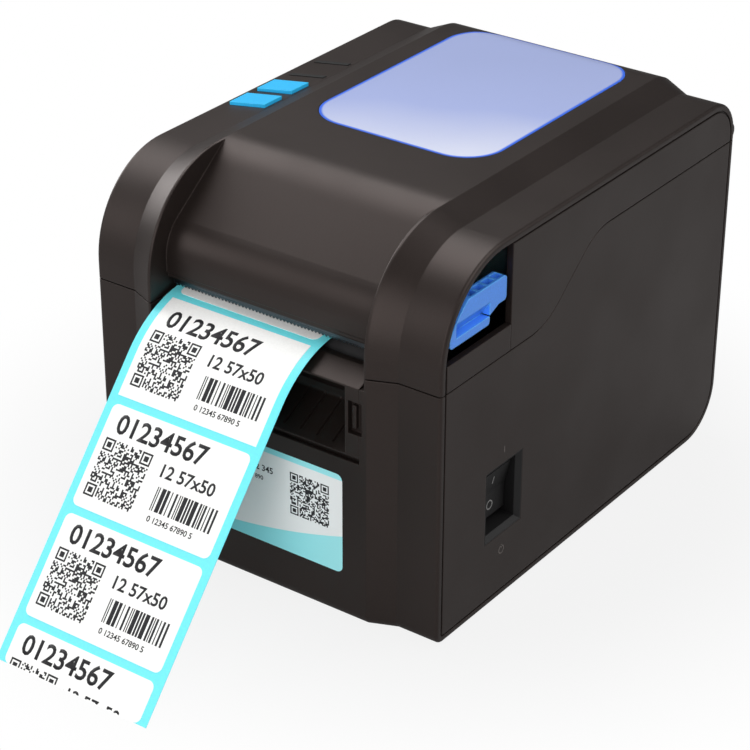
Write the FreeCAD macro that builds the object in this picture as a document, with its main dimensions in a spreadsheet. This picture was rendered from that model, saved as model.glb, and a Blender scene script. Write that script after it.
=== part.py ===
"""Desktop thermal label printer: a case with a rear-hinged lid, a drop-in label roll and a geared feed."""
import FreeCAD
import Part
import Sketcher
import math
import os
import re

# Case frame: x across, y back from the front face of the side strips, z up from the case's underside.
SIZES = [
    ("width", "148", "case, across the side faces"),
    ("depth", "192", "case, front strip to back strip"),
    ("side_height", "141", "case, underside to the top of the side strips"),
    ("wall", "2.5", "moulded wall"),
    ("crown_rise", "4.2", "raised middle, above the side strips"),
    ("crown_half", "47", "half width of the crown's flat"),
    ("crown_foot", "57", "half width at the foot of the crown's bevel"),
    ("shoulder_radius", "36", "front shoulder"),
    ("rear_top_radius", "16", "top rear edge"),
    ("rear_bottom_radius", "20", "lower rear edge"),
    ("front_bottom_radius", "4", "lower front edge"),
    ("edge_round", "1.2", "rounding of the side strips' outer edge"),
    ("groove_inset", "2.4", "reveal line, in from the outline"),
    ("groove_width", "0.8", "reveal line"),
    ("groove_depth", "0.8", "reveal line"),
    ("fit", "0.15", "gap round a piece that is set into another"),
    ("running", "0.3", "gap beside a piece that moves"),
    ("bearing", "0.08", "gap round a shaft or pin that turns in its hole"),
    ("overshoot", "20", "how far a cut runs past the case"),
    ("seam_front", "98", "lid seam at the front"),
    ("seam_rear", "122.6", "lid seam at the rear"),
    ("seam_start", "63.1", "where the seam turns up"),
    ("seam_end", "93.9", "where the seam turns level again"),
    ("seam_radius", "26", "bends of the seam"),
    ("seam_gap", "0.5", "gap at the seam"),
    ("throat_half", "46", "half width between the lid's arms"),
    ("throat_rear", "47", "rear end of the arms' inner walls"),
    ("panel_front", "5", "upright part of the lid's middle panel"),
    ("panel_break", "120.2", "height where the panel leans back"),
    ("panel_crease", "39", "where the panel meets the crown"),
    ("panel_bend", "16", "bend of the panel"),
    ("panel_lip", "104.5", "lower edge of the panel"),
    ("lip_step", "0.8", "step along the panel's lower edge"),
    ("lip_tall", "2", "step along the panel's lower edge"),
    ("grip_inset", "3.2", "lever opening, in from the outline"),
    ("grip_rear", "41", "rear edge of the lever opening"),
    ("sill_top", "108", "top of the strip under the lever opening"),
    ("sill_flange", "1.6", "lip behind the sill strip"),
    ("window_half", "38.4", "top window, half width"),
    ("window_front", "72.5", "top window, front edge"),
    ("window_rear", "182", "top window, rear edge"),
    ("window_corner", "16", "top window, corner radius"),
    ("window_thick", "2.2", "top window, sheet"),
    ("button_outer", "70.6", "buttons, edge next to the case side"),
    ("button_inner", "58.5", "buttons, edge next to the crown"),
    ("button_first", "71.7", "front corner of the front button"),
    ("button_pitch", "16.2", "front button to rear button"),
    ("button_length", "10.4", "buttons, front to back"),
    ("button_skew", "5.1", "slant of the buttons"),
    ("button_proud", "1.2", "buttons, above the strip"),
    ("button_travel", "0.8", "buttons, pressed down"),
    ("button_flange", "0.6", "flange that keeps a button in"),
    ("button_stem", "1.6", "radius of a button's stem"),
    ("pipe_first", "107.2", "front corner of the front indicator"),
    ("pipe_pitch", "15.7", "front indicator to rear indicator"),
    ("pipe_length", "2.2", "indicators, front to back"),
    ("pipe_proud", "0.2", "indicators, above the strip"),
    ("board_thick", "1.6", "circuit boards"),
    ("key_board_top", "128", "board under the buttons"),
    ("key_board_front", "64", "board under the buttons"),
    ("key_board_rear", "134", "board under the buttons"),
    ("key_post_inset", "3.5", "posts of that board, from its ends"),
    ("key_post_radius", "2.6", "posts of that board"),
    ("key_switch", "6", "push switch, across"),
    ("key_switch_tall", "4", "push switch"),
    ("hinge_back", "4.6", "lid hinge axis, behind the strips"),
    ("knuckle_radius", "3.4", "lid hinge"),
    ("hinge_pin_radius", "1.5", "lid hinge"),
    ("hinge_inner", "58.5", "inner end of a hinge"),
    ("lid_knuckle", "5", "length of a lid knuckle"),
    ("base_knuckle", "6", "length of a base knuckle"),
    ("hinge_web", "10", "height of the knuckles' webs"),
    ("latch_back", "14", "latch shaft"),
    ("latch_height", "116.2", "latch shaft"),
    ("latch_radius", "2", "latch shaft"),
    ("latch_seat", "1.5", "latch shaft, into a lever"),
    ("latch_swing", "12", "latch, lift of its levers"),
    ("hook_inner", "59", "inner face of a latch hook"),
    ("hook_thick", "4", "latch hook"),
    ("hook_depth", "6.7", "latch hook, nose to back"),
    ("hook_shank", "4", "latch hook, front to back"),
    ("hook_tip", "90.8", "lowest point of a latch hook"),
    ("nose_tall", "2.6", "nose of a latch hook"),
    ("catch_thick", "2.4", "ledge that a hook holds under"),
    ("lever_inner", "68.4", "inner face of a latch lever"),
    ("lever_thick", "5", "latch lever"),
    ("lever_front", "5.6", "latch lever, front end"),
    ("lever_rear", "38.4", "latch lever, rear end"),
    ("lever_low", "113", "latch lever, underside"),
    ("lever_top", "127.6", "latch lever, upper edge"),
    ("lever_round", "1.4", "latch lever, corners"),
    ("lever_clear", "1", "latch lever, from the opening's arc when lifted"),
    ("ledge_rear", "28.6", "finger ledge of a lever, rear end"),
    ("ledge_thick", "3.3", "finger ledge of a lever, rear end"),
    ("heel_front", "33.9", "raised heel of a lever"),
    ("heel_low", "118.5", "raised heel of a lever"),
    ("scoop_front", "9", "finger scoop over the ledge"),
    ("scoop_low", "116", "finger scoop over the ledge"),
    ("scoop_high", "121.5", "finger scoop over the ledge"),
    ("scoop_deep", "3.4", "finger scoop over the ledge"),
    ("dimple_first", "17.8", "pockets in a lever's upper edge"),
    ("dimple_pitch", "5.2", "pockets in a lever's upper edge"),
    ("dimple_count", "4", "pockets in a lever's upper edge"),
    ("dimple_long", "4.2", "pockets in a lever's upper edge"),
    ("dimple_wide", "3", "pockets in a lever's upper edge"),
    ("dimple_deep", "2.5", "pockets in a lever's upper edge"),
    ("tear_thick", "0.8", "tear bar, sheet"),
    ("tear_tip", "101.2", "tips of the tear bar's teeth"),
    ("tear_top", "111", "upper edge of the tear bar"),
    ("tear_half", "45", "half width of the tear bar"),
    ("tooth_pitch", "1.5", "tear bar"),
    ("tooth_deep", "0.8", "tear bar"),
    ("web_height", "100.4", "underside of the label web over the platen"),
    ("web_thick", "0.2", "label web"),
    ("web_left", "44.5", "left edge of the label web, from the middle"),
    ("web_width", "67", "label web"),
    ("web_bend_start", "13.8", "where the web starts to droop"),
    ("web_bend", "42", "radius of the droop"),
    ("web_slope", "49.35", "slope of the hanging web"),
    ("web_end", "0.3", "end of the web, above the desk"),
    ("label_thick", "0.12", "one label"),
    ("label_width", "60.5", "one label"),
    ("label_length", "37.7", "one label"),
    ("label_pitch", "40.7", "label to label"),
    ("label_corner", "2.5", "one label"),
    ("label_lead", "17", "first gap below the bend's end"),
    ("head_half", "42", "half width of the print head"),
    ("head_front", "10.8", "print head's ceramic, front edge"),
    ("head_deep", "15.2", "print head's ceramic"),
    ("head_thick", "1", "print head's ceramic"),
    ("sink_front", "11.4", "heat sink, front edge"),
    ("sink_thick", "2.6", "heat sink plate"),
    ("fin_tall", "1.6", "heat sink fins"),
    ("fin_thick", "1.2", "heat sink fins"),
    ("fin_pitch", "5", "heat sink fins"),
    ("head_pivot_back", "40", "head pivot"),
    ("head_pivot_height", "105.6", "head pivot"),
    ("head_pin_radius", "1.2", "head pivot"),
    ("head_eye", "2.4", "radius of the heat sink's eye"),
    ("bracket_front", "14.5", "head bracket"),
    ("bracket_rear", "58", "head bracket"),
    ("bracket_top", "110", "head bracket"),
    ("bracket_thick", "1.6", "head bracket"),
    ("bracket_half", "40.5", "half width of the head bracket, over its ears"),
    ("bracket_post", "28", "posts that carry the head bracket, from the middle"),
    ("bracket_post_back", "53", "posts that carry the head bracket"),
    ("bracket_post_radius", "3.6", "posts that carry the head bracket"),
    ("spring_half", "8", "half width of the leaf spring"),
    ("spring_thick", "0.5", "leaf spring"),
    ("spring_touch", "26.4", "leaf spring, where it bears on the heat sink"),
    ("screw_radius", "1.4", "small screws"),
    ("screw_head", "2.8", "radius of the small screws' heads"),
    ("screw_head_tall", "1.5", "small screws"),
    ("screw_length", "9", "small screws, under the head"),
    ("plate_half", "64", "half width of the bottom plate"),
    ("plate_front", "12", "bottom plate"),
    ("plate_rear", "168", "bottom plate"),
    ("block_inner", "53", "inner face of the blocks that take the plate's screws"),
    ("block_front", "15", "front blocks"),
    ("block_rear", "152", "rear blocks"),
    ("block_long", "10", "blocks"),
    ("block_top", "16", "blocks"),
    ("screw_across", "58.5", "plate screws, from the middle"),
    ("foot_height", "1.5", "rubber feet"),
    ("foot_radius", "7", "rubber feet"),
    ("foot_across", "50", "rubber feet, from the middle"),
    ("foot_front", "34", "front feet"),
    ("foot_rear", "140", "rear feet"),
    ("front_half", "44", "half width of the front panel"),
    ("front_low", "64.5", "front panel, lower edge"),
    ("front_brow", "93.3", "front panel, front edge of its top"),
    ("front_top", "96.9", "front panel, highest edge"),
    ("front_back", "5", "front panel, rear edge of its slope"),
    ("front_waist", "7.4", "front panel, rear edge of its top"),
    ("front_rise", "91", "front panel, underside of its top"),
    ("front_bevel", "1.4", "front panel, bevel of its lower edge"),
    ("front_deep", "15.2", "rear face of the chute's box"),
    ("front_knee", "80", "where that rear face leans forward"),
    ("chute_half", "38.2", "half width of the chute in the front panel"),
    ("chute_wall", "2", "side walls of the chute's box"),
    ("chute_low", "66.9", "chute, lower edge"),
    ("chute_high", "92.7", "chute, upper edge"),
    ("chute_back", "13", "chute, rear wall"),
    ("chute_floor", "75.9", "chute, rear end of its floor"),
    ("chute_bend", "1.5", "chute, bend behind the floor"),
    ("chute_rise", "79", "chute, top of its rear wall"),
    ("chute_roof", "5.5", "chute, front end of its sloping roof"),
    ("rib_pitch", "7", "lines on the chute's floor"),
    ("rib_count", "10", "lines on the chute's floor"),
    ("rib_start", "2.5", "lines on the chute's floor, from its front edge"),
    ("rib_wide", "0.9", "lines on the chute's floor"),
    ("rib_deep", "1", "lines on the chute's floor"),
    ("clip_low", "75.4", "clip notches beside the chute"),
    ("clip_tall", "12.6", "clip notches"),
    ("clip_inset", "1.2", "clip notches, from the chute and past the panel's edge"),
    ("clip_deep", "2.4", "clip notches"),
    ("tab_inset", "2.5", "tab in a clip notch, from the chute"),
    ("tab_wide", "1.6", "tab in a clip notch"),
    ("tab_tall", "8.7", "tab in a clip notch"),
    ("tab_sunk", "0.8", "tab in a clip notch, behind the panel's face"),
    ("switch_front", "28.5", "power switch, front edge"),
    ("switch_rear", "51", "power switch, rear edge"),
    ("switch_low", "26.5", "power switch, lower edge"),
    ("switch_high", "55", "power switch, upper edge"),
    ("switch_border", "1.8", "bevelled border of the switch recess"),
    ("switch_floor", "60", "floor of the switch recess"),
    ("switch_back", "52", "back of the switch body"),
    ("rocker_pivot", "65", "rocker axis, from the middle"),
    ("rocker_face", "68.2", "pressed face of the rocker"),
    ("rocker_angle", "14", "rocker's swing"),
    ("rocker_reach", "9.8", "rocker, half height"),
    ("rocker_deep", "3", "rocker, behind its axis"),
    ("axle_radius", "1", "rocker axle"),
    ("frame_half", "48", "feed frame, over its cheeks"),
    ("frame_thick", "2", "feed frame, sheet"),
    ("frame_front", "9", "feed frame"),
    ("frame_rear", "63", "feed frame"),
    ("frame_low", "12", "feed frame"),
    ("frame_top", "97.2", "feed frame"),
    ("stand_across", "36", "stands under the feed frame, from the middle"),
    ("stand_front", "18", "stands under the feed frame"),
    ("stand_rear", "54", "stands under the feed frame"),
    ("stand_radius", "4", "stands under the feed frame"),
    ("platen_back", "17", "platen axis"),
    ("platen_radius", "8", "platen"),
    ("platen_half", "44.6", "half length of the platen's rubber"),
    ("shaft_radius", "2.6", "platen shaft"),
    ("bush_radius", "4.2", "platen bushes"),
    ("bush_flange", "5.6", "platen bushes"),
    ("bush_flange_thick", "1.2", "platen bushes"),
    ("tooth_module", "0.8", "feed gears"),
    ("backlash", "0.24", "feed gears"),
    ("addendum", "0.85", "feed gears, tooth above the pitch line, in modules"),
    ("dedendum", "1.15", "feed gears, tooth below the pitch line, in modules"),
    ("root_flank", "16", "feed gears, lean of a tooth's lower flank"),
    ("tip_flank", "26", "feed gears, lean of a tooth's upper flank"),
    ("gear_face", "6", "feed gears"),
    ("gear_offset", "2", "feed gears, out from the frame"),
    ("platen_teeth", "20", "gear on the platen"),
    ("idler_teeth", "28", "gear between"),
    ("pinion_teeth", "14", "gear on the motor"),
    ("idler_angle", "50", "idler, below the level line through the platen"),
    ("pinion_angle", "10", "pinion, below the level line through the idler"),
    ("idler_pin", "2", "radius of the idler's post"),
    ("post_clip", "1.4", "collar and clip of the idler's post"),
    ("cheek_border", "8", "feed frame, round the window in its cheeks"),
    ("cheek_window", "32", "feed frame, height of that window"),
    ("cheek_corner", "4", "feed frame, corners of that window"),
    ("motor_size", "35", "motor, across"),
    ("motor_long", "22", "motor"),
    ("motor_corner", "6", "motor"),
    ("motor_shaft", "2.5", "radius of the motor shaft"),
    ("motor_boss", "7", "radius of the motor's front boss"),
    ("guide_front", "26", "paper guide"),
    ("guide_rear", "70", "paper guide"),
    ("guide_top", "97", "paper guide"),
    ("guide_thick", "1.5", "paper guide"),
    ("guide_drop", "12", "turned-down edges of the paper guide"),
    ("sensor_left", "8", "gap sensor, left of the middle"),
    ("sensor_back", "44", "gap sensor"),
    ("sensor_size", "8", "gap sensor"),
    ("tray_half", "63", "label tray, over its cheeks"),
    ("tray_front", "79", "label tray"),
    ("tray_rear", "171", "label tray"),
    ("tray_top", "96", "label tray"),
    ("tray_floor", "18", "label tray, inside"),
    ("tray_bend", "24", "label tray, inside"),
    ("tray_thick", "2", "label tray"),
    ("roll_back", "125", "label roll axis"),
    ("roll_height", "62", "label roll axis"),
    ("core_bore", "12.7", "radius of the core's bore"),
    ("core_wall", "3", "cardboard core"),
    ("holder_thick", "3.2", "roll holders"),
    ("holder_half", "17", "roll holders, half width at the foot"),
    ("holder_head", "18", "radius of a holder's round head"),
    ("hub_long", "8", "hubs that enter the core"),
    ("foot_long", "12", "foot of the sliding holder"),
    ("foot_tall", "8", "foot of a holder"),
    ("rail_half", "6", "half width of the holders' rail"),
    ("rail_tall", "3", "holders' rail"),
    ("rail_end", "58", "right end of the holders' rail"),
    ("main_board_front", "176", "main board"),
    ("main_board_half", "56", "main board"),
    ("main_board_low", "26", "main board"),
    ("main_board_high", "92", "main board"),
    ("main_post", "51", "posts of the main board, from the middle"),
    ("main_post_inset", "5", "posts of the main board, from its edges"),
    ("main_post_radius", "3", "posts of the main board"),
    ("usb_left", "14", "data socket, left of the middle"),
    ("usb_wide", "12", "data socket"),
    ("usb_tall", "11", "data socket"),
    ("usb_wall", "1.4", "data socket"),
    ("tongue_wide", "5.8", "data socket, tongue"),
    ("tongue_tall", "3.2", "data socket, tongue"),
    ("socket_low", "34", "sockets, lower edge"),
    ("socket_deep", "11", "sockets, hollow"),
    ("power_left", "-8", "power socket, left of the middle"),
    ("power_wide", "9.5", "power socket"),
    ("power_bore", "3", "power socket"),
    ("power_pin", "1", "power socket"),
]
NAMES = {alias for alias, value, note in SIZES}
WORD = re.compile(r"[a-z]+(?:_[a-z]+)*")

doc = FreeCAD.newDocument("label_printer")
sheet = doc.addObject("Spreadsheet::Sheet", "Sizes")
for row, (alias, value, note) in enumerate(SIZES, 1):
    sheet.set(f"A{row}", value)
    sheet.setAlias(f"A{row}", alias)
    sheet.set(f"B{row}", note)
doc.recompute()

# Distances used by several pieces.
HALF = "(width / 2)"
INNER = "(width / 2 - wall)"
CROWN_TOP = "(side_height + crown_rise)"
CROWN_BACK = "(depth + crown_rise)"
ROOF = "(side_height - wall)"
HINGE_BACK = "(depth + hinge_back)"
WEB_TOP = "(web_height + web_thick)"
WEB_RIGHT = "(web_width - web_left)"
PLATEN_HEIGHT = "(web_height - platen_radius - fit)"
HEAD_LOW = f"({WEB_TOP} + running / 2)"
SINK_LOW = f"({HEAD_LOW} + head_thick)"
SINK_TOP = f"({SINK_LOW} + sink_thick)"
GEAR_INNER = "(frame_half + gear_offset)"
GEAR_OUTER = f"({GEAR_INNER} + gear_face)"
IDLER_REACH = "(tooth_module * (platen_teeth + idler_teeth) / 2)"
PINION_REACH = "(tooth_module * (pinion_teeth + idler_teeth) / 2)"
IDLER_BACK = f"(platen_back + {IDLER_REACH} * cos(idler_angle))"
IDLER_HEIGHT = f"({PLATEN_HEIGHT} - {IDLER_REACH} * sin(idler_angle))"
PINION_BACK = f"({IDLER_BACK} + {PINION_REACH} * cos(pinion_angle))"
PINION_HEIGHT = f"({IDLER_HEIGHT} - {PINION_REACH} * sin(pinion_angle))"
ROLL_RADIUS = "(web_height - roll_height - fit)"


def bound(text):
    """The expression with every size read from the sheet."""
    return WORD.sub(lambda m: "Sizes." + m.group() if m.group() in NAMES else m.group(), text)


def number(text):
    """The present value of an expression."""
    return float(sheet.evalExpression(bound(text)))


def tie(thing, path, text):
    """Bind one property of an object to an expression."""
    thing.setExpression(path, bound(text))


def new_body(name, back="0", height="0", turn="0"):
    """An empty body whose frame stands at a place in the case frame, turned about x.

    The case stands on its feet with its middle at the origin.
    """
    body = doc.addObject("PartDesign::Body", name)
    body.Label = name
    body.Placement.Rotation = FreeCAD.Rotation(FreeCAD.Vector(1, 0, 0), 1)
    tie(body, "Placement.Base.y", f"{back} - depth / 2")
    tie(body, "Placement.Base.z", f"{height} + foot_height")
    tie(body, "Placement.Rotation.Angle", turn)
    return body


PLANES = {"side": "YZ_Plane", "top": "XY_Plane", "front": "XZ_Plane"}


def new_sketch(body, plane, level):
    """A sketch on one of the body's own planes, moved along the plane's axis to the level."""
    sketch = body.newObject("Sketcher::SketchObject", "Outline")
    origin = [o for o in body.Origin.OriginFeatures if o.Role == PLANES[plane]]
    sketch.AttachmentSupport = [(origin[0], "")]
    sketch.MapMode = "FlatFace"
    tie(sketch, "AttachmentOffset.Base.z", f"-({level})" if plane == "front" else level)
    return sketch


def place(sketch, shape, end, across, up):
    """Hold one point of a sketched shape at its two distances from the origin."""
    for kind, text in (("DistanceX", across), ("DistanceY", up)):
        index = sketch.addConstraint(Sketcher.Constraint(kind, -1, 1, shape, end, number(text)))
        tie(sketch, f"Constraints[{index}]", text)


def draw_circle(sketch, across, up, radius):
    """A circle held at its centre."""
    centre = FreeCAD.Vector(number(across), number(up), 0)
    shape = sketch.addGeometry(Part.Circle(centre, FreeCAD.Vector(0, 0, 1), number(radius)))
    place(sketch, shape, 3, across, up)
    index = sketch.addConstraint(Sketcher.Constraint("Radius", shape, number(radius)))
    tie(sketch, f"Constraints[{index}]", radius)


def corner_arc(before, corner, after, radius):
    """Ends, centre and turning sense of the arc that rounds a corner."""
    towards = (before - corner).normalize()
    away = (after - corner).normalize()
    half_angle = towards.getAngle(away) / 2
    reach = radius / math.tan(half_angle)
    centre = corner + (towards + away).normalize() * (radius / math.sin(half_angle))
    left_turn = (corner - before).cross(after - corner).z > 0
    return corner + towards * reach, corner + away * reach, centre, left_turn


def draw_outline(sketch, corners):
    """A closed outline through corners (across, up), or (across, up, radius) where it is rounded."""
    points = [FreeCAD.Vector(number(c[0]), number(c[1]), 0) for c in corners]
    count = len(points)
    entry, leave, arcs = list(points), list(points), {}
    for i, corner in enumerate(corners):
        if len(corner) == 3:
            radius = number(corner[2])
            entry[i], leave[i], centre, left = corner_arc(
                points[i - 1], points[i], points[(i + 1) % count], radius)
            arcs[i] = (centre, radius, left)
    lines = [sketch.addGeometry(Part.LineSegment(leave[i], entry[(i + 1) % count])) for i in range(count)]
    for i, corner in enumerate(corners):
        if i not in arcs:
            sketch.addConstraint(Sketcher.Constraint("Coincident", lines[i - 1], 2, lines[i], 1))
            place(sketch, lines[i], 1, corner[0], corner[1])
            continue
        centre, radius, left = arcs[i]
        ends = (entry[i], leave[i]) if left else (leave[i], entry[i])
        angles = [math.atan2(e.y - centre.y, e.x - centre.x) for e in ends]
        circle = Part.Circle(centre, FreeCAD.Vector(0, 0, 1), radius)
        arc = sketch.addGeometry(Part.ArcOfCircle(circle, *angles))
        first, last = (1, 2) if left else (2, 1)
        sketch.addConstraint(Sketcher.Constraint("Tangent", lines[i - 1], 2, arc, first))
        sketch.addConstraint(Sketcher.Constraint("Tangent", arc, last, lines[i], 1))
        index = sketch.addConstraint(Sketcher.Constraint("Radius", arc, radius))
        tie(sketch, f"Constraints[{index}]", corner[2])
        mark = sketch.addGeometry(Part.Point(points[i]), True)
        sketch.addConstraint(Sketcher.Constraint("PointOnObject", mark, 1, lines[i - 1]))
        sketch.addConstraint(Sketcher.Constraint("PointOnObject", mark, 1, lines[i]))
        place(sketch, mark, 1, corner[0], corner[1])


def sketch_all(body, plane, level, outlines):
    """One sketch that holds several outlines: a list of corners, or (across, up, radius) for a circle."""
    sketch = new_sketch(body, plane, level)
    for outline in outlines:
        if isinstance(outline, tuple):
            draw_circle(sketch, *outline)
        else:
            draw_outline(sketch, outline)
    return sketch


def extrude(body, kind, plane, start, stop, outlines):
    """A pad or pocket of the outlines from start to stop along the plane's own axis."""
    sketch = sketch_all(body, plane, stop if plane == "front" else start, outlines)
    feature = body.newObject(f"PartDesign::{kind}", kind)
    feature.Profile = sketch
    feature.Reversed = kind == "Pocket"
    tie(feature, "Length", f"({stop}) - ({start})")
    doc.recompute()
    return feature


def pad(body, plane, start, stop, *outlines):
    """Add the outlines, drawn out from start to stop."""
    return extrude(body, "Pad", plane, start, stop, outlines)


def cut(body, plane, start, stop, *outlines):
    """Take the outlines away from start to stop, and make sure that something went."""
    before = body.Shape.Volume
    feature = extrude(body, "Pocket", plane, start, stop, outlines)
    if body.Shape.Volume > before - 1e-6:
        raise RuntimeError(f"a cut in {body.Label} removes nothing")
    return feature


def loft(body, kind, plane, *sections):
    """A ruled loft, added or taken away, between outlines at two levels."""
    sketches = [sketch_all(body, plane, level, [outline]) for level, outline in sections]
    feature = body.newObject(f"PartDesign::{kind}", kind)
    feature.Profile = sketches[0]
    feature.Sections = sketches[1:]
    feature.Ruled = True
    doc.recompute()
    return feature


def repeat(body, feature, axis, step, count):
    """A row of copies of a feature along one of the body's axes."""
    row = body.newObject("PartDesign::LinearPattern", "Row")
    row.Originals = [feature]
    row.Direction = ([o for o in body.Origin.OriginFeatures if o.Role == axis][0], [""])
    row.Mode = "Spacing"
    tie(row, "Offset", step)
    tie(row, "Occurrences", count)
    body.Tip = row
    doc.recompute()


def round_edges(body, radius, chosen):
    """Fillet the edges of the body's last feature that the test picks."""
    base = body.Tip
    names = [f"Edge{i}" for i, edge in enumerate(base.Shape.Edges, 1) if chosen(edge.BoundBox)]
    fillet = body.newObject("PartDesign::Fillet", "Fillet")
    fillet.Base = (base, names)
    tie(fillet, "Radius", radius)
    doc.recompute()


def on_side(side, near, far):
    """Start and stop of a span across the case, on its right (1) or left (-1) half."""
    return (near, far) if side > 0 else (f"-({far})", f"-({near})")


def box(across_low, across_high, up_low, up_high, *radius):
    """The outline of a rectangle, with one radius for all corners if given."""
    return [(a, u, *radius) for a, u in (
        (across_low, up_low), (across_high, up_low), (across_high, up_high), (across_low, up_high))]


def side_profile(inset):
    """The side strips seen from the side, drawn in by the inset."""
    return [
        (inset, inset, f"front_bottom_radius - {inset}"),
        (f"depth - {inset}", inset, f"rear_bottom_radius - {inset}"),
        (f"depth - {inset}", f"side_height - {inset}", f"rear_top_radius - {inset}"),
        (inset, f"side_height - {inset}", f"shoulder_radius - {inset}"),
    ]


def crown_profile(inset):
    """The raised middle seen from the side, drawn in by the inset."""
    front = f"{inset} - crown_rise"
    back = f"{CROWN_BACK} - {inset}"
    return [
        (front, inset, f"front_bottom_radius - {inset}"),
        (back, inset, f"rear_bottom_radius - {inset}"),
        (back, f"{CROWN_TOP} - {inset}", f"rear_top_radius + crown_rise - {inset}"),
        (front, f"{CROWN_TOP} - {inset}", f"shoulder_radius + crown_rise - {inset}"),
    ]


def seam_line(shift):
    """The S-shaped lid seam from front to back, moved up by the shift."""
    return [
        ("-overshoot", f"seam_front + {shift}"),
        ("seam_start", f"seam_front + {shift}", "seam_radius"),
        ("seam_end", f"seam_rear + {shift}", "seam_radius"),
        ("depth + overshoot", f"seam_rear + {shift}"),
    ]


def casing(body):
    """The whole outer form: side strips with rounded edges, the crown on its bevels and the reveal line."""
    pad(body, "side", f"-{HALF}", HALF, side_profile("0"))
    edge = number(HALF)
    round_edges(body, "edge_round", lambda b: b.XLength < 1e-6 and abs(abs(b.XMin) - edge) < 1e-6)
    for side in (1, -1):
        loft(body, "AdditiveLoft", "side",
             (f"{side} * crown_half", crown_profile("0")), (f"{side} * crown_foot", side_profile("0")))
    pad(body, "side", "-crown_half", "crown_half", crown_profile("0"))
    for side in (1, -1):
        cut(body, "side", *on_side(side, f"{HALF} - groove_depth", f"{HALF} + groove_depth"),
            side_profile("groove_inset"), side_profile("(groove_inset + groove_width)"))


def slanted(front, length, grow):
    """A slanted key on the left strip seen from above, widened all round by grow."""
    return [
        (f"-button_outer - {grow}", f"{front} - {grow}"),
        (f"-button_inner + {grow}", f"{front} + button_skew - {grow}"),
        (f"-button_inner + {grow}", f"{front} + button_skew + {length} + {grow}"),
        (f"-button_outer - {grow}", f"{front} + {length} + {grow}"),
    ]


BUTTONS = {"feed_button": "button_first", "pause_button": "button_first + button_pitch"}
PIPES = ("pipe_first", "pipe_first + pipe_pitch")
KEY_MIDDLE = "(button_outer + button_inner) / 2"
KEY_POSTS = ("key_board_front + key_post_inset", "key_board_rear - key_post_inset")
# The lid panel's slope: its run, rise and length give the corners of its inner face.
PANEL_RUN = "(panel_crease - panel_front)"
PANEL_RISE = f"({CROWN_TOP} - panel_break)"
PANEL_SLOPE = f"sqrt({PANEL_RUN} ^ 2 + {PANEL_RISE} ^ 2)"


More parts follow.
